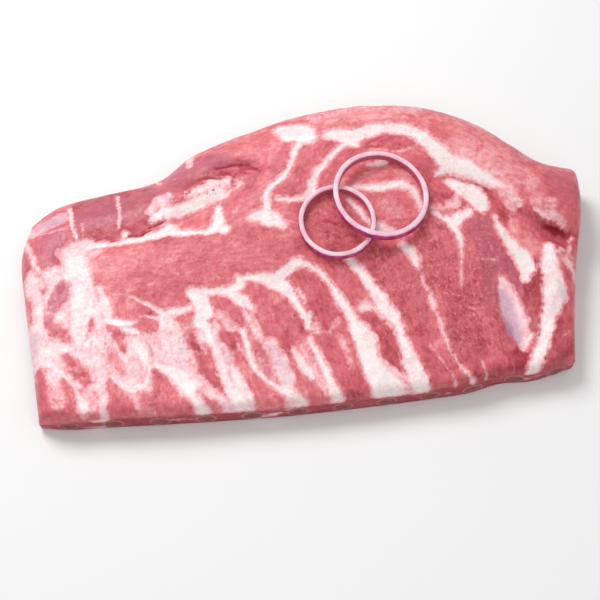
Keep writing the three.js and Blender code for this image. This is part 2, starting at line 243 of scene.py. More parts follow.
SCRAMBLE = (374761393, 668265263, 1013, 69069, 1274126177)


def lattice_value(i, j, seed):
    """A number from -1 to 1 for each lattice point, as good as random."""
    h = i * SCRAMBLE[0] + j * SCRAMBLE[1] + int(seed * SCRAMBLE[2]) * SCRAMBLE[3]
    h = (h ^ (h >> 13)) * SCRAMBLE[4]
    return ((h ^ (h >> 16)) & 0xFFFF) / 32767.5 - 1


def noise(x, y, size, seed, octaves=3):
    """Smooth noise from -1 to 1 over the plane, its largest forms of that size."""
    total, weight, reach = 0, 1.0, 0.0
    for octave in range(octaves):
        u, v = x / size * 2**octave + 17.3 * octave + seed, y / size * 2**octave - 9.1 * octave + 3.7 * seed
        i, j = np.floor(u).astype(np.int64), np.floor(v).astype(np.int64)
        f, g = u - i, v - j
        f, g = f * f * f * (f * (6 * f - 15) + 10), g * g * g * (g * (6 * g - 15) + 10)
        rows = [lerp(lattice_value(i, j + k, seed), lattice_value(i + 1, j + k, seed), f) for k in (0, 1)]
        total = total + weight * lerp(*rows, g)
        reach += weight
        weight *= 0.5
    return total / reach


# ---- The slab's form ----


def underside_height(x, y):
    along = smoothstep(x, *ARCH_ALONG[0]) * (1 - smoothstep(x, *ARCH_ALONG[1]))
    across = smoothstep(y, *ARCH_ACROSS[0]) * (1 - smoothstep(y, *ARCH_ACROSS[1]))
    return ARCH * along * across


def rib_at(index, s):
    """Points on a rib's middle line, from outside the saw cut (s = 0) to its far end."""
    share = index / (RIB_COUNT - 1)
    lean = math.radians(float(smooth_value(RIB_LEANS, np.array(share * 2.0))))
    length = float(smooth_value(RIB_LENGTHS, np.array(share * 2.0)))
    reach = lerp(-RIB_OVERRUN, length, np.asarray(s, float))
    x = lerp(*RIB_FEET, share) - math.sin(lean) * reach
    y = RIB_FOOT_Y + math.cos(lean) * reach
    z = lerp(RIB_HEIGHT, ARCH + RIB_DEPTH, underside_height(x, y) / ARCH)
    return x, y, z


def distance_to_ribs(shares, x, y):
    lines = [list(zip(*rib_at(index, shares)[:2])) for index in range(RIB_COUNT)]
    return np.min([distance_to_line(line, x, y) for line in lines], axis=0)


def crown_height(x, v):
    place = (x - STATIONS[0]) / (STATIONS[1] - STATIONS[0])
    return smooth_value([smooth_value(row, place) for row in CROWN], v * (len(CROWN) - 1))


def rib_swell(x, y):
    gap = distance_to_ribs(RIB_SWELL_ALONG, x, y)
    return RIB_SWELL * bell(gap / RIB_SWELL_HALF) * (1 - smoothstep(y, *RIB_SWELL_ENDS))


def top_height(x, y, v, rim, sides):
    height = crown_height(x, v) + rib_swell(x, y)
    for line, half, rise in FORMS.values():
        height = height + rise * bell(distance_to_line(line, x, y) / half)
    rounding = 1
    for name, reach in ROUND_OVER.items():
        rounding = rounding * quarter(distance_to_line(sides[name][::2], x, y) / reach)
    return rim + (height - rim) * rounding, rounding


def slab_sides(along, across):
    return {
        "sawn": side_line(SAWN_EDGE, along), "shoulder": side_line(SHOULDER_END, across),
        "brisket": side_line(BRISKET_EDGE, along), "flank": side_line(FLANK_END, across),
    }


def patch(sides):
    """The patch between the four sides, which holds whatever the sides hold."""
    sawn, shoulder, brisket, flank = (sides[name] for name in ("sawn", "shoulder", "brisket", "flank"))
    u = spaced(np.linspace(0, 1, len(sawn)))[:, None, None]
    v = spaced(np.linspace(0, 1, len(flank)))[None, :, None]
    across = lerp(sawn[:, None], brisket[:, None], v) + lerp(flank[None], shoulder[None], u)
    corners = lerp(lerp(sawn[0], sawn[-1], u), lerp(brisket[0], brisket[-1], u), v)
    return across - corners


def edge_loop(sides):
    """The loop round the slab, anticlockwise from above, each side without its last point."""
    return np.vstack([
        sides["sawn"][:-1], sides["shoulder"][:-1], sides["brisket"][:0:-1], sides["flank"][:0:-1],
    ])


def grid_cells(along, across):
    return np.arange((along + 1) * (across + 1)).reshape(along + 1, across + 1)


def grid_loop(along, across):
    """The same loop as places in a grid of points, numbered along the flank end first."""
    cell = grid_cells(along, across)
    return np.concatenate([cell[:-1, 0], cell[-1, :-1], cell[:0:-1, -1], cell[0, :0:-1]])


def grid_quads(along, across):
    cell = grid_cells(along, across)
    return np.stack([cell[:-1, :-1], cell[1:, :-1], cell[1:, 1:], cell[:-1, 1:]], -1).reshape(-1, 4)


def wall_insets(loop):
    """The way inwards at each point of the loop, eased and mitred where the loop turns a corner."""
    chord = np.roll(loop, -1, axis=0)[:, :2] - np.roll(loop, 1, axis=0)[:, :2]
    inward = np.stack([-chord[:, 1], chord[:, 0]], -1)
    length = np.linalg.norm(chord, axis=1)
    run = np.cumsum(length) / 2
    apart = np.abs(run[:, None] - run)
    near = bell(np.minimum(apart, run[-1] - apart) / CORNER_REACH)
    inward = near @ inward / (near @ length)[:, None]
    return inward / (inward ** 2).sum(axis=1)[:, None]


# The row's frame has its origin under the middle of the slab.
low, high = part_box("meat")
solid_sides = slab_sides(*SOLID_STEPS)
outline = edge_loop(solid_sides)
SHIFT = np.array([
    (low.x + high.x) / 2 / MM - (outline[:, 0].min() + outline[:, 0].max()) / 2,
    (low.y + high.y) / 2 / MM - (outline[:, 1].min() + outline[:, 1].max()) / 2,
    0.0,
])


def sawn_y(x):
    """Where the saw cut is, at x."""
    return np.interp(x, solid_sides["sawn"][:, 0], solid_sides["sawn"][:, 1])


def to_row_frame(points):
    return (np.asarray(points, float) + SHIFT) * MM


def link(thing):
    bpy.context.scene.collection.objects.link(thing)
    return thing


def store(mesh, name, values):
    """A float attribute on the mesh's points."""
    mesh.attributes.new(name, "FLOAT", "POINT").data.foreach_set("value", np.asarray(values, np.float32))


def new_piece(name, points, faces, material, attributes):
    """A smooth mesh piece from points in the slab's frame, with float attributes on its points."""
    mesh = bpy.data.meshes.new(name)
    mesh.from_pydata(to_row_frame(points).tolist(), [], [list(map(int, f)) for f in faces])
    mesh.update()
    for key, values in attributes.items():
        store(mesh, key, values)
    mesh.shade_smooth()
    mesh.materials.append(material)
    return link(bpy.data.objects.new(name, mesh))


def mesh_points(mesh):
    """A mesh's points in millimetres, in the frame that the mesh is in."""
    places = np.zeros(len(mesh.vertices) * 3)
    mesh.vertices.foreach_get("co", places)
    return places.reshape(-1, 3) / MM


def move_points(mesh, points):
    """The mesh's points go to these, given in the slab's frame."""
    mesh.vertices.foreach_set("co", to_row_frame(points).ravel())
    mesh.update()


# ---- Nodes ----


def give(tree, made, inputs):
    """Each named input of a node gets a link or a value of its own."""
    for key, value in dict(inputs).items():
        if isinstance(value, bpy.types.NodeSocket):
            tree.links.new(value, made.inputs[key])
        else:
            made.inputs[key].default_value = value


def node(tree, kind, inputs=(), **settings):
    """A node of that kind, with its settings and its inputs."""
    made = tree.nodes.new(kind)
    for name, value in settings.items():
        setattr(made, name, value)
    give(tree, made, inputs)
    return made


def maths(tree, operation, a, b=0.0, c=0.0):
    return node(tree, "ShaderNodeMath", {0: a, 1: b, 2: c}, operation=operation).outputs[0]


def times(tree, a, b):
    return maths(tree, "MULTIPLY", a, b)


def plus(tree, a, b):
    return maths(tree, "ADD", a, b)


def stray(tree, pattern, reach):
    """A pattern from 0 to 1 as a push either way, reach from end to end."""
    return maths(tree, "MULTIPLY_ADD", pattern, reach, -reach / 2)


def ramp(tree, value, low, high, to_low=0.0, to_high=1.0):
    """A smooth step of a value from one range to another."""
    inputs = {"Value": value, "From Min": low, "From Max": high, "To Min": to_low, "To Max": to_high}
    return node(tree, "ShaderNodeMapRange", inputs, interpolation_type="SMOOTHSTEP").outputs["Result"]


def tint(tree, share, a, b):
    """Colour b over colour a; each is a socket or a name in the palette."""
    a, b = (colour(c) if isinstance(c, str) else c for c in (a, b))
    return node(tree, "ShaderNodeMix", {0: share, 6: a, 7: b}, data_type="RGBA").outputs[2]


def attribute(tree, name):
    return node(tree, "ShaderNodeAttribute", attribute_name=name).outputs["Fac"]


def group_tree(name, kind, inputs, outputs):
    tree = bpy.data.node_groups.new(name, kind)
    for direction, sockets in (("INPUT", inputs), ("OUTPUT", outputs)):
        for label, (socket, *default) in sockets.items():
            made = tree.interface.new_socket(name=label, in_out=direction, socket_type="NodeSocket" + socket)
            if default:
                made.default_value = default[0]
    return tree, tree.nodes.new("NodeGroupInput").outputs, tree.nodes.new("NodeGroupOutput")


def use_group(tree, group, **inputs):
    made = tree.nodes.new("ShaderNodeGroup")
    made.node_tree = group
    give(tree, made, inputs)
    return made.outputs[0]


def fibre_group():
    """Streaks that run along the fibres, from 0 to 1."""
    tree, given, result = group_tree(
        "fibre streaks", "ShaderNodeTree",
        {"Along": ("Float",), "Across": ("Float",), "Width": ("Float", 1.0), "Length": ("Float", 8.0),
         "Seed": ("Float", 0.0), "Detail": ("Float", 3.0)},
        {"Streak": ("Float",)},
    )
    place = node(tree, "ShaderNodeCombineXYZ", {
        "X": maths(tree, "DIVIDE", given["Across"], given["Width"]),
        "Y": maths(tree, "DIVIDE", given["Along"], given["Length"]),
        "Z": given["Seed"],
    }).outputs[0]
    streak = node(tree, "ShaderNodeTexNoise", {"Vector": place, "Scale": 1.0, "Detail": given["Detail"]})
    tree.links.new(ramp(tree, streak.outputs["Fac"], 0.3, 0.7), result.inputs["Streak"])
    return tree


def blotch_group():
    """Blotches of a size in millimetres, from 0 to 1, with a soft edge."""
    tree, given, result = group_tree(
        "blotches", "ShaderNodeTree",
        {"Place": ("Vector",), "Size": ("Float", 5.0), "Seed": ("Float", 0.0), "Detail": ("Float", 3.0),
         "Low": ("Float", 0.35), "High": ("Float", 0.65)},
        {"Blotch": ("Float",)},
    )
    scale = maths(tree, "DIVIDE", 1.0 / MM, given["Size"])
    blots = node(tree, "ShaderNodeTexNoise", {
        "Vector": given["Place"], "W": given["Seed"], "Scale": scale, "Detail": given["Detail"],
    }, noise_dimensions="4D")
    tree.links.new(ramp(tree, blots.outputs["Fac"], given["Low"], given["High"]), result.inputs["Blotch"])
    return tree


FIBRES = fibre_group()
BLOTCHES = blotch_group()

# ---- Materials ----

# Screen colours, 0 to 255.
PALETTE = {
    "pale muscle": (238, 150, 150), "muscle": (212, 98, 110), "deep muscle": (162, 40, 58),
    "coral muscle": (232, 122, 118), "mauve muscle": (186, 94, 120), "fleck": (240, 164, 166),
    "thin fat": (242, 172, 178), "fat": (248, 208, 212), "thick fat": (247, 232, 230),
    # fold is the dark red of folds in the flesh. It is also used as painted shade on the wall and as painted
    # shadow in the pocket under the flap.
    "silver skin": (184, 142, 172), "fold": (134, 10, 30), "speck": (156, 82, 92),
    "marrow": (128, 40, 44), "spongy bone": (164, 80, 76), "middle of the bone": (134, 48, 50),
    "bone": (212, 164, 164), "stained bone": (200, 140, 146), "film on bone": (196, 116, 126),
    "sawn rim": (190, 122, 118),
    # The onion's inner wall colour is painted shade, with a painted reflection of the red meat.
    "onion": (250, 216, 226), "onion layer": (244, 190, 210), "onion inside": (188, 62, 100),
    "onion skin": (172, 38, 110), "light onion skin": (204, 84, 150),
}


def colour(name):
    """A colour of the palette as the light it stands for."""
    parts = [c / 255 for c in PALETTE[name]]
    return tuple(c / 12.92 if c <= 0.04045 else ((c + 0.055) / 1.055) ** 2.4 for c in parts) + (1.0,)


def new_material(name):
    material = bpy.data.materials.new(name)
    material.use_nodes = True
    tree = material.node_tree
    tree.nodes.clear()
    output = tree.nodes.new("ShaderNodeOutputMaterial")
    shader = tree.nodes.new("ShaderNodeBsdfPrincipled")
    tree.links.new(shader.outputs[0], output.inputs["Surface"])
    return material, tree, shader


def blotches_on(tree):
    """What lays blotches on a material: their size in millimetres, their seed and their edge."""
    place = node(tree, "ShaderNodeTexCoord").outputs["Object"]

    def blots(size, seed, low=0.35, high=0.65, detail=3.0):
        return use_group(
            tree, BLOTCHES, Place=place, Size=size, Seed=seed, Low=low, High=high, Detail=detail)

    return blots


def bump(tree, height, strength, distance):
    inputs = {"Height": height, "Strength": strength, "Distance": distance}
    return node(tree, "ShaderNodeBump", inputs).outputs[0]


def meat_material():
    material, tree, shader = new_material("raw pork")
    blots = blotches_on(tree)
    along, across = attribute(tree, "along"), attribute(tree, "across")

    def fibres(width, length, seed):
        return use_group(tree, FIBRES, Along=along, Across=across, Width=width, Length=length, Seed=seed)

    # Muscle: salmon to crimson, mottled, with fine streaks along its fibres.
    fine, coarse = fibres(0.5, 3.2, 1.0), fibres(2.2, 12.0, 2.0)
    depth = attribute(tree, "deep")
    for pattern, reach in ((blots(13, 1.0), 0.24), (blots(4, 31.0), 0.2), (fine, 0.16), (coarse, 0.2)):
        depth = plus(tree, depth, stray(tree, pattern, reach))
    muscle = tint(tree, ramp(tree, depth, 0.05, 0.5), "pale muscle", "muscle")
    muscle = tint(tree, ramp(tree, depth, 0.45, 1.0), muscle, "deep muscle")
    muscle = tint(tree, times(tree, blots(18, 9.0), 0.18), muscle, "coral muscle")
    muscle = tint(tree, attribute(tree, "mauve"), muscle, "mauve muscle")

    # Flecks of fat in the grain.
    grain = times(tree, blots(2.3, 5.0, 0.52, 0.7, 2.0), attribute(tree, "flecks"))
    muscle = tint(tree, times(tree, grain, 0.5), muscle, "fleck")

    # Fat: pink where it is thin, near white where it is thick, its edge ragged along the fibres.
    fat = attribute(tree, "fat")
    present = ramp(tree, fat, 0.0, 0.4)
    for pattern, reach in ((fibres(1.2, 6.0, 7.0), 0.14), (blots(2.8, 3.0), 0.26), (blots(9, 4.0), 0.22)):
        fat = plus(tree, fat, times(tree, stray(tree, pattern, reach), present))
    surface = tint(tree, ramp(tree, fat, 0.08, 0.5), muscle, "thin fat")
    surface = tint(tree, ramp(tree, fat, 0.4, 0.78), surface, "fat")
    surface = tint(tree, ramp(tree, fat, 0.72, 1.05), surface, "thick fat")

    # Silver skin, folds and specks over both. The folds' dark red also paints shade: on the wall and in the
    # pocket under the flap.
    surface = tint(tree, attribute(tree, "lilac"), surface, "silver skin")
    folds_and_shade = plus(tree, attribute(tree, "crease_and_shade"), stray(tree, blots(4, 6.0), 0.1))
    fold = ramp(tree, folds_and_shade, 0.12, 0.9)
    surface = tint(tree, times(tree, fold, 0.92), surface, "fold")
    specks = times(tree, blots(3.2, 12.0, 0.52, 0.66, 2.0), attribute(tree, "specks"))

    # Wet, with finer relief than the mesh holds. The folds are dull.
    height = plus(tree, times(tree, fine, 0.3), times(tree, blots(1.8, 22.0), 0.5))
    give(tree, shader, {
        "Base Color": tint(tree, specks, surface, "speck"),
        "Roughness": maths(tree, "MULTIPLY_ADD", blots(5, 20.0), 0.18, 0.32),
        "Specular IOR Level": ramp(tree, fold, 0.0, 1.0, 0.42, 0.08),
        "Normal": bump(tree, height, 0.45, 0.6 * MM),
        "Subsurface Weight": 0.15, "Subsurface Radius": (1.0, 0.4, 0.3), "Subsurface Scale": 2 * MM,
        "Coat Weight": 0.1, "Coat Roughness": 0.25,
    })
    return material


def bone_material():
    material, tree, shader = new_material("rib bone")
    blots = blotches_on(tree)
    core = attribute(tree, "core")
    spongy = tint(tree, blots(1.1, 1.0, 0.45, 0.58), "marrow", "spongy bone")
    spongy = tint(tree, ramp(tree, core, 0.5, 0.9), spongy, "middle of the bone")
    skin = tint(tree, blots(7, 2.0), "bone", "stained bone")
    skin = tint(tree, times(tree, blots(16, 4.0, 0.5, 0.7), 0.5), skin, "film on bone")
    skin = tint(tree, ramp(tree, core, BONE_CORE, 0.0), skin, "sawn rim")
    edge = plus(tree, core, stray(tree, blots(2.5, 8.0), 0.1))
    give(tree, shader, {
        "Base Color": tint(tree, ramp(tree, edge, 0.04, 0.24), skin, spongy),
        "Roughness": maths(tree, "MULTIPLY_ADD", blots(3, 3.0), 0.2, 0.35),
        "Normal": bump(tree, blots(1.2, 6.0), 0.5, 0.5 * MM),
        "Coat Weight": 0.2, "Coat Roughness": 0.25,
    })
    return material


def onion_material():
    material, tree, shader = new_material("red onion")
    blots = blotches_on(tree)
    wall = plus(tree, attribute(tree, "sideways"), stray(tree, blots(8, 1.0), 0.06))
    flesh = tint(tree, blots(9, 2.0), "onion", "onion layer")
    # The inner wall is painted dark crimson: painted shade, with a painted reflection of the red meat.
    flesh = tint(tree, times(tree, ramp(tree, wall, -0.4, -0.48), 0.9), flesh, "onion inside")
    skin = tint(tree, blots(6, 3.0), "onion skin", "light onion skin")
    give(tree, shader, {
        "Base Color": tint(tree, ramp(tree, wall, 0.4, 0.48), flesh, skin),
        "Roughness": maths(tree, "MULTIPLY_ADD", blots(3, 5.0), 0.15, 0.22),
        "Normal": bump(tree, blots(0.9, 6.0), 0.4, 0.3 * MM),
        "Subsurface Weight": 0.3, "Subsurface Radius": (1.0, 0.6, 0.8), "Subsurface Scale": 2 * MM,
    })
    return material


# ---- The slab's markings, painted in long strokes over the top: x, y and half width ----

# Fat in the flesh: how much of it shows, from 0 to 1, the width of its soft edge, and the stroke.
WASH = [
    (0.6, 10, [(4, 32, 14), (60, 26, 22), (112, 22, 28)]),
    (0.68, 9, [(20, 104, 9), (20, 76, 10), (20, 56, 9)]),
    (0.74, 8, [(2, 106, 5), (4, 88, 7), (5, 65, 8), (6, 42, 8)]),
    (0.8, 9, [(32, 118, 10), (36, 100, 11), (38, 84, 10), (38, 66, 10), (36, 52, 8)]),
    (0.7, 8, [(14, 46, 8), (30, 46, 6), (46, 50, 6), (48, 30, 6)]), (0.42, 8, [(12, 26, 6), (18, 6, 8)]),
    (0.5, 8, [(36, 16, 5), (40, 0, 6)]), (0.68, 5, [(46, 40, 5), (48, 10, 4.5), (48, -6, 4)]),
    (0.55, 6, [(56, 50, 3), (58, 30, 5), (62, 12, 4)]), (0.66, 5, [(70, 40, 6), (70, 24, 7), (70, 12, 5)]),
    (0.5, 6, [(68, 2, 5), (74, -8, 6)]), (0.7, 5, [(94, 56, 6), (98, 44, 8), (100, 32, 8), (102, 22, 7)]),
    (0.35, 4, [(84, 44, 3), (86, 34, 3)]), (0.62, 6, [(106, 16, 5), (112, 2, 7), (122, -8, 6)]),
    (0.62, 5, [(128, 46, 4), (131, 30, 5), (134, 14, 5), (140, 2, 5)]),
    (0.45, 6, [(134, 56, 5), (140, 44, 5)]), (0.5, 5, [(142, 34, 3), (144, 24, 3)]),
    (0.42, 6, [(154, 50, 3), (158, 36, 4), (160, 20, 5), (162, 2, 5)]),
    (0.72, 6, [(166, 28, 4), (169, 16, 5.5), (172, 0, 6), (174, -10, 5)]),
    (0.4, 6, [(186, 24, 4), (190, 6, 5), (196, -10, 5)]), (0.4, 5, [(196, 44, 4), (199, 34, 5)]),
    (0.32, 4, [(214, 30, 2), (217, 12, 3), (218, 2, 3)]),
    (0.5, 5, [(236, 50, 4), (243, 46, 4), (250, 36, 4), (255, 24, 4)]),
    (0.6, 5, [(240, 0, 4), (248, -12, 7)]), (0.35, 3, [(214, 28, 1.6), (217, 14, 2.2), (218, 4, 1.6)]),
    (0.55, 4, [(247, -6, 3), (252, -13, 5)]), (0.2, 4, [(281, 12, 3), (281, 10, 3)]),
    (0.3, 3, [(308, -4, 1), (309, -12, 1.6)]), (0.6, 4, [(357, 66, 5)]),
    (0.45, 4, [(386, 66, 2), (392, 78, 2), (396, 86, 1.4)]), (0.5, 3, [(378, 72, 2), (384, 68, 1)]),
    (0.28, 5, [(352, 104, 3), (353, 92, 4)]), (0.5, 5, [(48, 118, 5), (54, 119, 2)]),
    (0.35, 3, [(40, 146, 0.8), (42, 134, 0.8)]),
    (0.6, 3, [(-3, 145, 1.5), (1, 131, 1.8), (4, 118, 1.6), (9, 107, 1.8)]),
    (0.66, 4, [(120, 156, 3), (132, 160, 3.6), (146, 160, 3)]), (0.45, 4, [(100, 176, 2.4), (99, 184, 2.4)]),
    (0.45, 4, [(124, 188, 3), (124, 200, 4)]), (0.3, 4, [(112, 176, 2)]),
    (0.3, 6, [(322, 162, 5), (334, 150, 5)]), (0.42, 5, [(298, 116, 4), (314, 117, 5), (318, 126, 3)]),
    (0.25, 6, [(232, 199, 4), (270, 199, 4), (288, 194, 4)]),
    (0.2, 8, [(356, 128, 4), (340, 150, 5), (322, 170, 5)]), (0.5, 8, [(6, 150, 8), (24, 156, 7)]),
    # The second stroke below is the pale lip over the pocket under the flap. It is pale fat, brightened as a
    # painted highlight.
    (0.5, 5, [(0, 135, 3), (6, 114, 3)]), (0.55, 4, [(372, 106, 2), (382, 101, 3), (391, 95, 2.6)]),
    (0.5, 6, [(96, 150, 5), (104, 158, 4)]), (0.4, 6, [(150, 160, 4), (160, 162, 3)]),
    (0.45, 4, [(384, 66, 4), (391, 50, 4)]), (0.24, 12, [(330, 168, 10), (350, 146, 14), (372, 126, 10)]),
    (0.3, 5, [(206, 30, 3), (214, 40, 3)]), (0.3, 8, [(222, 208, 8), (262, 212, 8), (300, 204, 8)]),
    (0.6, 5, [(92, 146, 4), (100, 156, 5)]), (0.5, 5, [(150, 157, 4), (158, 160, 3)]),
    (0.5, 5, [(350, 130, 3), (357, 119, 4), (362, 112, 3)]), (0.3, 6, [(372, 112, 4), (384, 108, 5)]),
    (0.3, 6, [(338, 146, 6), (352, 134, 5)]), (0.4, 4, [(383, 72, 3), (390, 64, 3)]),
    (0.42, 4, [(347, 128, 2), (352, 118, 3), (357, 108, 2.4)]), (0.22, 8, [(262, 124, 7), (272, 116, 7)]),
    (0.2, 6, [(246, 146, 3), (268, 147, 3)]),
    (0.4, 9, [(318, 162, 5), (330, 154, 7), (342, 143, 6), (352, 132, 4)]),
    (0.74, 5, [(46, 82, 3), (47, 74, 4), (48, 66, 4), (50, 57, 4.4), (51, 48, 4)]),
]

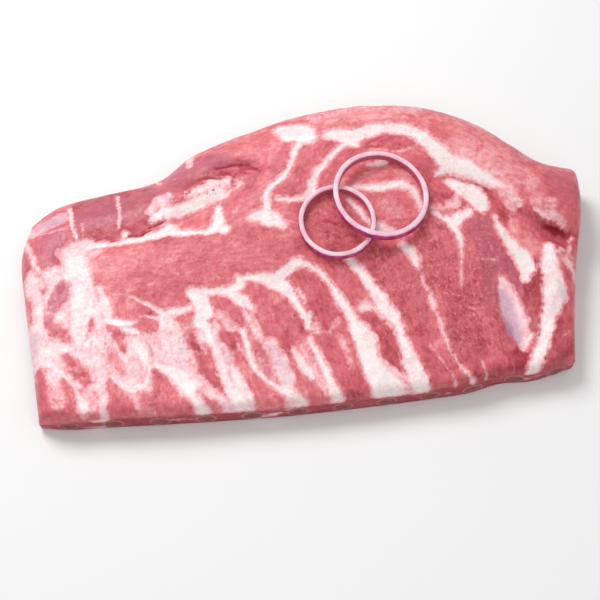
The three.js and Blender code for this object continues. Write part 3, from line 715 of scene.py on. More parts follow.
# Fat that lies on the flesh, in ridges and patches.
FAT = [
    (0.86, 14, [(32, 120, 10), (36, 104, 11), (37, 86, 9), (35, 68, 7), (31, 55, 6)]),
    (0.7, 8, [(8, 97, 4), (20, 100, 6)]), (0.75, 7, [(14, 44, 6), (30, 45, 5), (43, 48, 6)]),
    (0.85, 4, [(6, 36, 3), (15, 32, 3), (22, 25, 1.6), (29, 13, 1.6), (33, 5, 2.6), (34, -1, 4.6)]),
    (0.9, 3, [(51, 88, 2), (53, 75, 4), (56, 62, 3.4), (64, 57, 2.6), (74, 57, 1)]),
    (0.95, 2.6, [(54, 18, 1.6), (60, 11, 2.4), (68, 6, 2.8), (75, 7, 2.4), (80, 15, 1.8), (82, 22, 1.2)]),
    (1, 3, [(73, 42, 2.6), (77, 34, 4), (79, 26, 2.6)]),
    (0.85, 3, [(66, 52, 1.5), (71, 50, 3), (75, 48, 1.6)]),
    (0.8, 1.8, [(72, 77, 0.7), (80, 72, 1), (88, 66, 1.2), (93, 62, 2)]),
    (0.85, 3, [(94, 61, 2), (103, 60, 3), (112, 63, 2)]), (0.7, 1.6, [(78, 61, 0.6), (90, 58, 1)]),
    (1, 3, [(85, 22, 1.8), (93, 18, 3.8), (100, 12, 4.8), (105, 3, 4.6), (110, -5, 4), (113, -12, 4)]),
    (0.7, 5, [(108, 12, 4), (112, 0, 4), (122, -6, 4), (128, -12, 3)]),
    (1, 3, [(114, 74, 2), (120, 67, 6), (122, 58, 6.4), (117, 51, 4), (122, 46, 3), (125, 38, 2.4)]),
    (0.95, 2.6, [(115, 77, 1.2), (128, 74, 2), (140, 72, 2.4), (150, 76, 3)]),
    (0.9, 3, [(124, 42, 2), (127, 28, 3), (130, 12, 3.4), (133, -2, 3.6), (139, -12, 4.6)]),
    (0.85, 3, [(138, 10, 2.6), (142, -3, 4), (145, -13, 4)]),
    (0.95, 3, [(141, 71, 2), (147, 67, 3.4), (152, 62, 4.2), (155, 57, 2.2)]),
    (1, 2.8, [(150, 80, 2.6), (157, 81, 2.2), (167, 79, 3.4), (176, 75, 6), (181, 69, 4.6), (185, 62, 2.6),
        (188, 55, 2), (191, 47, 2.4), (194, 44, 3), (193, 37, 1.6)]),
    (0.95, 2.6, [(178, 79, 4), (187, 85, 3.2), (194, 88, 2.6), (201, 85, 1.7), (207, 79, 1.5),
        (211, 73, 1.4), (215, 64, 1.5), (219, 56, 2.6), (222, 48, 2.8), (225, 39, 3.6)]),
    (1, 3, [(227, 33, 5), (231, 24, 7), (231, 10, 6.4), (234, -4, 7), (239, -15, 10)]),
    (0.9, 2.4, [(147, 42, 1.8), (149, 30, 1.8), (150, 18, 1.8), (153, 9, 1.3), (158, 2, 1.4), (166, -6, 2),
        (174, -13, 3)]), (0.7, 2, [(151, 55, 1.6), (153, 46, 1.2), (157, 38, 1.2), (160, 33, 1)]),
    (0.9, 2.6, [(180, 21, 1.4), (184, 13, 2.6), (188, 5, 3), (191, -1, 1.6)]),
    (0.92, 2.6, [(193, 29, 1), (196, 16, 1.8), (199, 6, 2), (201, -4, 2.6), (204, -15, 4)]),
    (0.6, 1.6, [(190, 68, 0.5), (193, 61, 0.9), (195, 53, 0.8)]),
    (0.95, 2.8, [(229, 86, 2.2), (234, 79, 3), (240, 69, 3), (244, 60, 3.6), (247, 51, 4.6), (250, 43, 4.6),
        (254, 36, 3.6), (256, 28, 2.6), (257, 20, 2.6), (258, 10, 3.6), (260, 0, 5.4), (262, -12, 6.4)]),
    (0.9, 3, [(233, 46, 2.6), (238, 47, 2.6)]),
    (0.92, 3, [(270, 91, 1.6), (274, 86, 3), (277, 79, 3), (278, 73, 1.2)]),
    (0.5, 2.6, [(278, 72, 0.8), (279, 60, 1), (282, 50, 1.5), (284, 36, 1.5), (285, 24, 1.6), (286, 14, 1),
        (288, 3, 0.9), (292, -8, 1), (297, -15, 1.4)]),
    (0.45, 2, [(276, 11, 0.6), (279, 2, 0.7), (283, -8, 0.8)]), (0.4, 1.6, [(320, 72, 0.6), (336, 71, 0.6)]),
    (0.35, 1.8, [(309, 36, 0.6), (314, 28, 0.8)]),
    (1, 2.8, [(305, 107, 1.6), (309, 101, 3.2), (311, 94, 2.4), (311, 84, 1.5)]),
    (0.95, 2.6, [(341, 103, 1.2), (343, 95, 2.6), (346, 86, 3.4), (349, 78, 4.4)]),
    (1, 3, [(354, 71, 5.6), (356, 62, 5.6), (353, 54, 3)]),
    (0.9, 3.4, [(375, 76, 3.6), (373, 62, 6), (372, 49, 7.4), (371, 39, 8), (367, 30, 6.4), (361, 20, 4.6),
        (357, 10, 3.8), (352, 0, 4), (347, -8, 4)]),
    # The first stroke below is the same pale lip over the pocket: pale fat and a painted highlight.
    (0.6, 2.6, [(374, 103, 0.5), (383, 99, 1.2), (392, 93, 1)]), (0.3, 2, [(366, 4, 0.8), (374, 10, 0.8)]),
    (0.9, 4, [(34, 127, 4), (46, 127, 4.4)]),
    (0.9, 2.6, [(46, 127, 3.4), (60, 125, 1.8), (70, 125, 2.4), (80, 125, 2.6), (90, 125, 3), (98, 127, 4),
        (105, 130, 4.6)]),
    (0.9, 2.4, [(104, 129, 4), (108, 124, 3), (120, 122, 2), (131, 121, 2), (138, 123, 3.2)]),
    (0.95, 2, [(72, 131, 2.2), (72.5, 131, 2)]),
    (0.8, 1.6, [(68.5, 137, 0.4), (68.5, 155, 0.7), (68, 171, 0.8)]),
    (0.85, 1.8, [(31, 166, 1), (33, 155, 1), (34, 145, 0.9), (36, 133, 0.7)]),
    (0.6, 2, [(4, 143, 0.8), (16, 142, 0.7), (30, 144, 0.9)]),
    (0.96, 3, [(93, 141, 2.4), (101, 143, 5), (112, 143, 4.6), (122, 147, 4.2), (134, 151, 5.2),
        (144, 154, 5.2)]), (0.75, 3, [(101, 150, 2.6), (106, 158, 2.4)]),
    (0.95, 3, [(142, 141, 2.6), (141, 133, 3.4), (141, 124, 4.4), (143, 121, 4)]),
    (0.95, 5, [(165, 128, 3), (173, 127, 5.2), (180, 123, 5.8), (185, 118, 3)]),
    (0.85, 2.4, [(209, 188, 2.2), (204, 181, 2.1), (201, 173, 2), (198, 165, 1.8), (193, 158, 1.8),
        (186, 152, 1.8), (179, 148, 1.9), (176, 142, 2.2), (177, 134, 2.4), (175, 129, 3)]),
    (1, 4, [(196, 203, 5), (203, 197, 8), (213, 193, 7.4), (218, 188, 3.4)]),
    (0.8, 3, [(211, 188, 2.6), (216, 184, 1.6)]),
    (0.85, 2.2, [(242, 178, 1.9), (236, 174, 1.5), (229, 168, 2), (223, 163, 2.2), (217, 157, 2.5),
        (213, 150, 2.7), (210, 142, 2.9), (205, 137, 2.9), (196, 137, 1.9), (186, 139, 1.3)]),
    (1, 3.4, [(228, 187, 2.2), (238, 186, 5.4), (247, 183, 5.8), (258, 186.5, 5), (270, 187, 4),
        (281, 186.5, 3.8), (291, 183, 4.2), (299, 176, 4.6), (304, 169, 5.2), (309, 162, 6.2),
        (314, 155, 6.8), (316, 149, 4.8), (306, 146, 1.4)]), (0.9, 3, [(245, 178, 2.6), (250, 175, 1.6)]),
    (0.85, 2, [(256, 157.5, 1.2), (262, 158, 2), (269, 157.5, 1.2)]),
    (0.92, 2.6, [(240, 141, 0.8), (255, 139, 2.2), (266, 138, 2.4), (277, 138, 3), (284, 134, 2.8),
        (287, 126, 2.2), (288, 112, 2)]),
    (0.9, 2.2, [(237, 131, 0.7), (242, 122, 1.5), (246, 115, 2.2), (251, 109, 3.4), (257, 106, 3.6),
        (264, 103, 1.2)]),
    (1, 3, [(313, 139, 2.6), (319, 133, 5.2), (326, 127, 7.2), (331, 120, 7.8), (332, 114, 5.6)]),
    (1, 3, [(322, 110, 2.6), (314, 106, 4), (310, 101, 4)]), (0.9, 2.4, [(298, 113, 1.2), (304, 105, 1.8)]),
    (0.72, 3.4, [(336, 57, 2.4), (337, 47, 5.2), (338, 35, 7.2), (340, 23, 8.2), (341, 12, 6.6),
        (340, 2, 2.6)]),
    (1, 8, [(314, 156, 5.4), (322, 150, 7), (332, 143, 6.4), (341, 135, 5), (351, 127, 2.6)]),
    (0.72, 5, [(126, 158, 3), (138, 162, 5), (149, 163, 4)]),
    (0.42, 2, [(258, 170, 0.6), (270, 167, 0.9), (285, 166, 0.8), (294, 168, 0.6)]),
    (0.62, 2.2, [(311, 84, 1.2), (309, 72, 0.9), (306, 54, 0.6)]), (0.6, 3, [(361, 28, 3), (360, 18, 3)]),
]

# Lean flesh that shows through the fat in it.
LEAN = [
    (0.92, 6.4, [(5, 28, 4.6), (5, 14, 5), (6, 0, 5)]),
    (0.97, 5, [(24, 37, 2.6), (29, 30, 5), (34, 23, 5), (38, 16, 3)]),
    (0.74, 6.4, [(21, 20, 2.4), (25, 10, 3.4), (28, 0, 3)]),
    (0.97, 5, [(26, 95, 4), (24, 89, 6.8), (19, 82, 5.8)]),
    (0.88, 5, [(17, 80, 4.6), (14, 73, 4.6), (14, 66, 4)]),
    (0.87, 8, [(14, 64, 4), (19, 59, 6), (26, 51, 4)]),
    (0.86, 3.8, [(44, 65, 1.6), (42.5, 59, 2.6), (41, 52, 2)]), (0.74, 6.4, [(-1, 88, 2.6), (1, 72, 2.6)]),
    (0.87, 5.8, [(57, 56, 2.2), (61, 46, 3.2), (65, 36, 2.6)]),
    (0.78, 6.4, [(56, 40, 2), (57, 30, 3.4), (62, 21, 3)]),
    (0.87, 6.4, [(54, 12, 3.6), (58, 2, 7), (62, -9, 9)]), (0.55, 6.4, [(74, 0, 4), (77, -9, 5)]),
    (0.92, 6.4, [(76, 58, 3.6), (84, 53, 5)]), (0.92, 4.8, [(79, 67, 2.2), (88, 62, 2.6)]),
    (0.92, 6.4, [(84, 17, 2.4), (87, 8, 6), (90, -4, 8)]),
    (0.92, 5.8, [(110, 43, 3), (113, 33, 3.8), (117, 22, 5), (121, 10, 4.6), (125, 2, 4)]),
    (0.83, 4.8, [(120, 33, 2), (124, 20, 2.6), (127, 12, 2)]),
    (0.74, 5.8, [(112, -2, 2.6), (118, -10, 3.6)]), (0.46, 4.8, [(108, 58, 1.6), (112, 51, 2)]),
    (0.9, 4, [(133, 66, 3), (138, 60, 3.6), (144, 52, 3.6)]),
    (0.95, 4, [(133, 40, 3), (138, 34, 4), (139, 28, 3.4)]),
    (0.9, 4, [(142, 22, 2.4), (146, 9, 3.4), (152, -3, 4.4), (157, -12, 4.6)]),
    (0.6, 3, [(156, 30, 2), (160, 18, 2.6), (161, 2, 2.6)]), (0.83, 8, [(8, 136, 5.8), (22, 137, 6.8)]),
    (0.87, 8, [(14, 118, 5.8)]), (0.9, 4, [(184, -4, 2.8), (190, -14, 4.8)]),
    (0.8, 3, [(379, 60, 1.8), (384, 54, 4.2)]), (0.4, 3, [(363, 66, 1.8), (362, 56, 1.8)]),
    (0.85, 2.6, [(338, 128, 1.4), (343, 120, 2.1), (346, 112, 2), (351, 103, 1.4)]),
]

# How deep the red is, from 0 (pale salmon) to 1 (crimson): depth, how far it blends outwards, the stroke.
DEEP = [
    (0.47, 4, [(4, 28, 4), (5, 8, 4), (12, -4, 4)]), (0.58, 4, [(13, 67, 3), (18, 60, 5), (26, 52, 4)]),
    (0.52, 3, [(22, 36, 1.6), (30, 27, 3), (34, 19, 3), (38, 11, 2)]),
    (0.44, 3, [(21, 20, 1.6), (24, 10, 2.4), (27, 0, 2)]),
    (0.58, 3, [(57, 56, 2), (61, 46, 3), (65, 36, 2)]), (0.44, 4, [(54, 12, 3), (58, 0, 6), (60, -10, 6)]),
    (0.3, 3, [(56, 30, 3), (61, 22, 3)]), (0.56, 4, [(84, 18, 2), (86, 8, 6), (92, -6, 6)]),
    (0.62, 3, [(80, 67, 2), (87, 63, 2)]), (0.5, 3, [(78, 57, 3), (85, 53, 4)]),
    (0.72, 4, [(110, 42, 3), (113, 33, 4), (117, 22, 5), (121, 10, 4.6), (126, 2, 4)]),
    (0.3, 2, [(120, 30, 1.6), (124, 18, 2)]), (0.47, 3, [(112, -3, 2), (116, -8, 3)]),
    (0.52, 3, [(132, 64, 3), (142, 52, 4)]), (0.66, 3, [(140, 37, 2.4), (136, 30, 4)]),
    (0.3, 3, [(142, 22, 2), (146, 8, 3), (154, -8, 4)]),
    (0.55, 3.4, [(44, 66, 1.4), (42, 58, 2), (41, 51, 1.4)]), (0.34, 8, [(56, 106, 6), (50, 92, 4)]),
    (0.46, 8, [(80, 92, 12), (110, 96, 16), (150, 100, 16), (180, 106, 10)]),
    (0.68, 3, [(112, 118, 2), (96, 116, 2)]), (0.34, 5, [(66, 78, 6), (62, 68, 5), (74, 66, 3)]),
    (0.4, 6, [(90, 108, 6), (70, 112, 6)]), (0.52, 5, [(140, 90, 5), (130, 84, 4)]),
    (0.6, 4, [(196, 100, 5), (192, 92, 4)]), (0.4, 6, [(166, 72, 5), (168, 58, 6)]),
    (0.52, 6, [(172, 46, 8), (178, 34, 5)]), (0.7, 3, [(184, 50, 2), (184, 36, 3), (177, 25, 3)]),
    (0.36, 3, [(180, 0, 3), (178, -12, 3)]), (0.66, 5, [(200, 76, 8), (205, 56, 9), (207, 38, 6)]),
    (0.56, 4, [(204, 26, 4), (210, 8, 4)]), (0.64, 4, [(213, 2, 4), (217, -12, 8)]),
    (0.26, 2, [(213, 26, 1.6), (217, 12, 2)]), (0.42, 4, [(184, -6, 3), (190, -12, 5)]),
    (0.62, 4, [(220, 78, 6), (225, 66, 6), (231, 60, 4)]), (0.42, 3, [(234, 57, 3), (233, 50, 3)]),
    (0.72, 3, [(236, 38, 3), (244, 22, 5), (246, 8, 5), (250, -4, 2.6)]),
    (0.74, 5, [(252, 84, 6), (258, 64, 8), (267, 44, 8)]),
    (0.62, 4, [(276, 56, 3), (278, 30, 3), (270, 70, 4)]),
    (0.68, 5, [(266, 24, 5), (272, 2, 5), (276, -10, 6)]), (0.42, 4, [(276, 14, 4)]),
    (0.66, 6, [(292, 104, 8), (294, 84, 10)]), (0.72, 6, [(296, 62, 12), (300, 40, 12)]),
    (0.76, 5, [(302, 22, 9), (300, 2, 9)]), (0.6, 5, [(308, -6, 5), (320, -2, 4)]),
    (0.56, 6, [(330, 96, 12), (322, 80, 9)]), (0.66, 6, [(322, 60, 10), (316, 36, 9)]),
    (0.64, 5, [(322, 14, 6), (324, 28, 4)]), (0.72, 3, [(344, 74, 3), (345, 56, 4), (347, 46, 3)]),
    (0.95, 4, [(358, 46, 6), (352, 30, 4), (350, 12, 3)]), (0.95, 2, [(363, 64, 1.6), (361, 52, 2)]),
    (0.6, 3, [(383, 56, 5)]), (0.68, 4, [(372, 18, 7), (368, 6, 6)]),
    (0.84, 4, [(366, -4, 7), (356, -10, 5), (376, 4, 4)]), (0.9, 4, [(337, -8, 6), (330, -11, 5)]),
    (0.26, 5, [(362, 92, 9), (358, 80, 6)]), (0.2, 4, [(368, 84, 6)]),
    (0.6, 4, [(16, 136, 9), (24, 138, 6)]), (0.74, 4, [(14, 118, 6)]),
    (0.75, 8, [(70, 160, 10), (50, 158, 10)]), (0.66, 6, [(50, 138, 6), (80, 142, 6), (94, 146, 4)]),
    (0.44, 4, [(126, 137, 5), (116, 134, 4)]), (0.6, 6, [(112, 176, 10), (140, 178, 8)]),
    (0.66, 5, [(156, 172, 6), (140, 172, 4)]), (0.4, 6, [(160, 190, 10), (178, 184, 8)]),
    (0.56, 6, [(182, 172, 8), (186, 164, 6)]), (0.5, 5, [(160, 144, 9), (150, 140, 5)]),
    (0.4, 5, [(172, 162, 6), (160, 156, 4)]), (0.5, 5, [(188, 148, 5), (200, 148, 8), (204, 158, 6)]),
    (0.6, 5, [(210, 172, 8), (222, 178, 6), (206, 160, 5)]),
    (0.46, 5, [(222, 152, 5), (230, 158, 6), (244, 168, 4)]),
    (0.3, 5, [(240, 150, 6), (262, 148, 6), (280, 148, 6)]),
    (0.35, 5, [(240, 156, 3), (262, 164, 3), (282, 158, 3)]),
    (0.66, 5, [(215, 124, 10), (216, 104, 12), (234, 108, 8)]), (0.42, 5, [(266, 122, 12), (272, 118, 12)]),
    (0.62, 4, [(272, 174, 4), (288, 173, 4)]), (0.46, 4, [(290, 158, 6), (302, 152, 6)]),
    (0.66, 4, [(302, 138, 7), (304, 126, 6)]), (0.52, 3, [(342, 122, 1.6), (346, 110, 2)]),
    (0.5, 3, [(292, 134, 3)]), (0.5, 10, [(388, 132, 12), (396, 112, 10), (404, 140, 8)]),
    (0.72, 4, [(384, 76, 6), (390, 84, 5)]), (0.24, 10, [(330, 168, 14), (350, 144, 14), (372, 120, 8)]),
    (0.36, 6, [(300, 192, 6), (340, 176, 6), (376, 158, 6)]), (0.26, 6, [(236, 200, 6), (290, 196, 6)]),
    (0.62, 8, [(392, 124, 12), (400, 112, 10), (406, 134, 8)]),
    (1, 6, [(124, 172, 6), (150, 168, 6), (164, 160, 4)]), (0.4, 6, [(16, 10, 6), (40, 4, 8)]),
    (0.46, 5, [(60, -6, 8), (76, -8, 5)]), (0.4, 6, [(220, 168, 4), (262, 168, 8)]),
    (1, 8, [(50, 164, 9), (84, 160, 9)]), (0.45, 5, [(23, 90, 5), (17, 79, 5), (14, 68, 4)]),
    (0.8, 6, [(112, 182, 8), (140, 180, 7)]), (0.9, 6, [(46, 146, 8), (84, 146, 7)]),
    (0.3, 6, [(60, 76, 5), (72, 66, 5)]),
    (0.95, 2.6, [(338, 128, 1.4), (343, 120, 2.1), (346, 112, 2), (351, 103, 1.4)]),
    # Painted shadow in the pocket under the flap.
    (0.95, 4, [(379, 87, 3), (386, 84, 5), (392, 82, 4)]),
    (0.75, 3, [(331, 46, 1.4), (329, 26, 1.4), (331, 10, 1.4)]),
    # Painted shade along the fold that leads to the pocket under the flap.
    (0.85, 4, [(357, 109, 1.6), (364, 104, 3), (372, 99, 3), (378, 95, 3)]),
    (1, 3, [(150, 180, 2), (166, 178, 2.4), (176, 172, 2)]),
]

# Thin dark lines and folds in the flesh, with painted shadow in the pocket under the flap and painted shade
# along the fold leading to it, stroke by stroke as above.
CREASES_AND_SHADE = [
    (0.62, 1.6, [(312, 145, 0.5), (320, 140, 0.9), (330, 135, 1), (339, 128, 0.9)]),
    (0.3, 1.5, [(341, 126, 0.6), (346, 114, 0.8)]), (0.55, 1, [(57, 128, 0.4), (67, 128, 0.8)]),
    (0.8, 1, [(74, 129, 0.8), (84, 129.4, 1), (91, 131, 0.6)]),
    (0.7, 1.2, [(90, 134, 1), (98, 135.5, 1.4), (103, 137, 0.8)]),
    (0.8, 1.8, [(143, 178, 0.8), (156, 179, 1.2), (169, 177, 1.2), (174, 171, 0.8), (175, 165, 0.4)]),
    (0.75, 2, [(132, 171, 0.8), (140, 169, 1.4), (148, 166, 0.8)]),
    (0.3, 5, [(39, 46, 0.6), (42, 57, 1.4), (45, 66, 1)]),
    (0.42, 2.4, [(52, 54, 0.6), (52, 42, 0.5), (53, 30, 0.4), (51, 12, 0.6)]),
    (0.52, 2.4, [(80, 42, 0.7), (83, 36, 0.9), (84, 26, 0.6), (82, 20, 0.4)]),
    (0.46, 2, [(149, 50, 0.5), (151, 38, 0.7), (153, 24, 0.7), (158, 12, 0.5)]),
    (0.46, 1, [(182, 56, 0.4), (186, 48, 0.6), (188, 42, 0.4)]), (0.51, 1.5, [(363, 68, 1), (362, 60, 0.8)]),
    (0.3, 1.5, [(183, 134, 0.8), (188, 133, 0.8)]), (0.5, 1.5, [(290, 128, 0.8), (290, 125, 1)]),
    (0.4, 2, [(298, 126, 1), (306, 117, 0.8)]), (0.4, 1.5, [(250, -11, 0.8), (253, -14, 1)]),
    (0.3, 2.5, [(-2, 122, 1.5), (1, 111, 2), (7, 103, 2)]), (0.2, 1, [(217, 166, 0.5), (221, 160, 0.5)]),
    (0.6, 2.4, [(254, 172, 0.8), (262, 172.5, 1.3), (270, 171, 0.5)]),
    (0.4, 3, [(385, 84, 1), (383, 79, 0.8)]), (0.35, 3, [(395, 94, 1.4), (398, 100, 1)]),
    (0.5, 1.6, [(338, 129, 0.5), (343, 121, 0.8), (346, 113, 0.7), (351, 104, 0.5)]),
    # This line and the next four paint the pocket under the flap and the fold leading to it: painted shadow
    # and painted shade.
    (0.3, 4, [(356, 110, 0.8), (362, 105, 1.6), (369, 100, 2), (376, 96, 2)]),
    (0.62, 4.6, [(373, 98, 0.8), (379, 94.5, 2.4), (386, 91, 3.2), (394, 87, 2.2)]),
    (0.95, 2.4, [(377, 96, 0.6), (381, 94.2, 1.8), (386, 92, 2.3), (391, 90, 1)]),
    (0.5, 3, [(397, 87, 1.6), (403, 85, 1.2)]), (0.4, 3, [(396, 84, 1.2), (392, 79, 1)]),
    (0.35, 2, [(350, 104, 0.5), (357, 98, 0.6)]), (0.5, 3.6, [(384, 88, 1.6), (391, 84.5, 1.6)]),
    (0.4, 2, [(300, 112, 0.4), (294, 116, 0.5)]),
    (0.6, 1.6, [(257, 174, 0.6), (265, 178.4, 0.8), (280, 180.4, 0.7), (292, 178, 0.7), (297, 173, 0.6),
        (291, 168.5, 0.4)]), (0.55, 1.4, [(52, 56, 0.4), (52.5, 49, 0.6), (53, 42, 0.3)]),
    (0.5, 1.4, [(53, 22, 0.3), (54.5, 17, 0.6), (54.5, 12, 0.3)]),
]

# Mauve outer muscle and lilac skin.
MAUVE = [
    (0.75, 3, [(25, 92, 6), (24, 87, 6)]), (0.65, 3, [(13, 78, 2.4), (17, 72, 4)]),
    (0.55, 5, [(20, 136, 10), (14, 118, 6)]),
    (0.5, 8, [(44, 152, 12), (70, 152, 14), (92, 154, 10), (120, 182, 12)]),
    (0.5, 3, [(0, 122, 3), (3, 108, 3)]), (0.5, 3, [(345, 74, 2), (344, 56, 3), (347, 46, 2)]),
    (0.4, 3, [(158, 24, 3), (160, 6, 3)]), (0.5, 2, [(334, 48, 1), (331, 20, 1)]),
    (0.35, 8, [(372, 160, 6), (392, 150, 6)]), (0.35, 8, [(394, 126, 12), (402, 112, 8)]),
    (0.6, 6, [(118, 184, 8), (150, 184, 8)]), (0.46, 10, [(328, 96, 10), (334, 66, 9), (326, 40, 9)]),
    (0.42, 8, [(48, 160, 10), (88, 158, 10)]), (0.7, 5, [(22, 89, 4), (17, 78, 4), (15, 68, 3)]),
    (0.5, 4, [(380, 86, 3), (388, 82, 4)]), (0.6, 3, [(331, 46, 1.4), (329, 26, 1.6), (331, 10, 1.4)]),
]
LILAC = [
    (0.26, 4, [(166, 25, 2), (170, 12, 5), (173, -2, 5)]), (0.22, 3, [(70, 28, 3), (71, 20, 3)]),
    (0.22, 3, [(133, 26, 2), (135, 16, 2)]), (0.34, 5, [(2, 58, 3), (3, 44, 3)]),
    (0.22, 4, [(104, 30, 4), (104, 20, 4)]), (0.5, 2, [(105, 158, 2), (104, 152, 2)]),
    (0.3, 4, [(198, 200, 4), (208, 196, 5)]), (0.6, 7, [(6, 152, 4), (15, 156, 5), (26, 156, 5)]),
    (0.2, 4, [(374, 40, 3), (365, 24, 2)]),
    (0.62, 6, [(336, 46, 3), (336, 32, 5), (336, 20, 6), (338, 8, 3)]),
    (0.9, 5, [(334, 22, 3), (334, 15, 3.4)]), (0.35, 4, [(376, 48, 2), (376, 36, 3)]),
]
SPECKS = [
    (0.8, 3, [(110, 152, 3), (126, 158, 4), (142, 158, 4)]), (0.6, 2, [(98, 138, 2), (104, 140, 2)]),
    (0.35, 4, [(312, 120, 6), (306, 114, 5)]), (0.3, 3, [(42, 62, 3), (41, 48, 3), (30, 44, 3)]),
    (0.26, 6, [(40, 66, 4), (46, 50, 5), (52, 34, 5), (54, 18, 4)]), (0.32, 8, [(100, 52, 7), (106, 34, 6)]),
    (0.3, 6, [(8, 84, 4), (10, 70, 4)]), (0.3, 6, [(140, 48, 5), (160, 28, 5)]),
]

# Where the grain shows as pale flecks.
FLECKS = [
    (0.3, 8, [(60, 100, 14), (110, 98, 18), (180, 104, 16)]),
    (0.6, 6, [(252, 84, 8), (262, 56, 10), (272, 30, 8)]),
    (0.8, 6, [(292, 100, 12), (296, 60, 14), (300, 20, 14)]),
    (0.75, 6, [(330, 92, 14), (322, 50, 14), (318, 10, 12)]), (0.7, 5, [(266, 118, 14), (274, 114, 12)]),
    (0.6, 5, [(214, 120, 12), (222, 104, 12)]), (0.35, 6, [(392, 120, 10), (398, 110, 10)]),
    (0.2, 6, [(150, 142, 12), (190, 150, 12)]),
]

# The way the fibres run: one line for each muscle, along its fibres.
FIBRE_LINES = [
    [(50, 108), (100, 96), (180, 92)], [(10, 30), (30, 0)], [(20, 90), (28, 50)], [(45, 60), (50, 0)],
    [(62, 52), (62, 0)], [(82, 60), (90, 0)], [(104, 50), (116, -10)], [(120, 40), (132, -10)],
    [(135, 64), (160, -10)], [(165, 74), (178, -10)], [(184, 50), (200, -14)], [(196, 80), (216, -14)],
    [(220, 82), (236, 44)], [(228, 40), (232, -14)], [(238, 38), (250, -12)], [(250, 84), (270, -14)],
    [(284, 100), (300, -14)], [(330, 104), (318, -10)], [(338, 56), (338, 0)], [(354, 60), (350, 0)],
    [(376, 70), (360, 0)], [(364, 104), (360, 70)], [(392, 90), (380, 60)], [(14, 145), (14, 112)],
    [(20, 152), (130, 184)], [(44, 136), (110, 148)], [(110, 132), (138, 142)], [(100, 152), (150, 158)],
    [(132, 178), (176, 174)], [(150, 196), (190, 190)], [(150, 138), (174, 146)], [(186, 146), (204, 156)],
    [(180, 166), (198, 184)], [(204, 160), (222, 180)], [(216, 150), (246, 172)], [(234, 148), (290, 148)],
    [(204, 118), (234, 104)], [(256, 116), (280, 118)], [(262, 174), (292, 174)], [(286, 160), (306, 152)],
    [(298, 140), (312, 118)], [(190, 198), (220, 192)], [(230, 196), (290, 194), (340, 160), (380, 120)],
    [(320, 150), (345, 120)],
]


# The strokes' edges wander a little, as flesh does: how far, the size of the waves, their seeds in x and y.
WANDER = ((1.3, 9, 11.3, 12.9), (0.5, 3.2, 14.1, 15.7))
STROKE_REACH = 14.0  # how far from its edge a stroke is worked out, and how far it runs on over the saw cut
NEAR_CUT = -3  # a stroke that heads for the saw cut and ends in front of this y runs on over it
HALO = 0.42  # the fainter band round each stroke of fat
HALO_SPREAD, HALO_LIMIT = 1.8, 4.5  # its width, as a multiple of the soft edge and at most
GROUND_WEIGHT = 0.05  # of the value where no stroke is near, against 1 within a stroke
FIBRE_GAPS = (40, 90)  # along and across, so that one muscle's streaks don't carry on in the next


def wander(x, y):
    dx, dy = 0, 0
    for reach, size, seed_x, seed_y in WANDER:
        dx, dy = dx + reach * noise(x, y, size, seed_x), dy + reach * noise(x, y, size, seed_y)
    return x + dx, y + dy


def stroke_gap(stroke, x, y):
    """The signed distance from a stroke's edge, negative inside it, worked out only near the stroke."""
    points = np.array(stroke, float)
    if len(points) == 1:  # a dab
        points = np.repeat(points, 2, axis=0)
    way = points[-1, :2] - points[-2, :2]
    if points[-1, 1] < NEAR_CUT and way[1] < 0:
        points = np.vstack([points, [*(points[-1, :2] - STROKE_REACH * way / way[1]), points[-1, 2]]])
    reach = points[:, 2].max() + STROKE_REACH
    near = (x > points[:, 0].min() - reach) & (x < points[:, 0].max() + reach)
    near &= (y > points[:, 1].min() - reach) & (y < points[:, 1].max() + reach)
    gap = np.full(np.shape(x), STROKE_REACH)
    if near.any():
        gap[near] = distance_to_line(points[:, :2].tolist(), x[near], y[near], points[:, 2])
    return gap


def painted(strokes, x, y, halo=0.0):
    """Soft strokes laid side by side: the strongest one shows. A halo is a fainter band round each."""
    layer = np.zeros(np.shape(x))
    for strength, soft, line in strokes:
        inside = -stroke_gap(line, x, y)
        band = halo * smoothstep(inside, -min(HALO_SPREAD * soft, HALO_LIMIT), 0)
        layer = np.maximum(layer, strength * np.maximum(smoothstep(inside, -soft / 2, soft / 2), band))
    return layer


def blended(strokes, x, y, ground):
    """Soft strokes blended by how near each is, over a ground value."""
    weight = np.full(np.shape(x), GROUND_WEIGHT)
    total = ground * weight
    for value, soft, line in strokes:
        share = bell(np.maximum(stroke_gap(line, x, y), 0) / soft) ** 2
        total, weight = total + share * value, weight + share
    return total / weight


def fibre_places(x, y):
    """How far each point is along and across the fibres of the muscle it is in."""
    best = np.full(np.shape(x), np.inf)
    along, across = np.zeros(np.shape(x)), np.zeros(np.shape(x))
    for k, line in enumerate(FIBRE_LINES):
        start, aside = FIBRE_GAPS[0] * k, FIBRE_GAPS[1] * k
        for (ax, ay), (bx, by) in zip(line[:-1], line[1:]):
            length = math.hypot(bx - ax, by - ay)
            ux, uy = (bx - ax) / length, (by - ay) / length
            s, w = (x - ax) * ux + (y - ay) * uy, (y - ay) * ux - (x - ax) * uy
            gap = np.hypot(w, s - np.clip(s, 0, length))
            nearer = gap < best
            along[nearer], across[nearer] = (s + start)[nearer], (w + aside)[nearer]
            best = np.minimum(best, gap)
            start += length
    return along, across


def markings(x, y):
    """Every painted value at points of the top."""
    wx, wy = wander(x, y)
    lean = np.clip(painted(LEAN, wx, wy) * (1 + 0.5 * noise(x, y, 5, 17.2, 2)), 0, 1)
    marks = {
        "fat": np.maximum(painted(WASH, wx, wy) * (1 - lean), painted(FAT, wx, wy, HALO) * (1 - 0.6 * lean)),
        "deep": blended(DEEP, wx, wy, 0.5),
    }
    layers = {"crease_and_shade": CREASES_AND_SHADE, "mauve": MAUVE, "lilac": LILAC, "specks": SPECKS, "flecks": FLECKS}
    for name, strokes in layers.items():
        marks[name] = painted(strokes, wx, wy)
    marks["along"], marks["across"] = fibre_places(wx, wy)
    return marks


# ---- The slab of meat ----


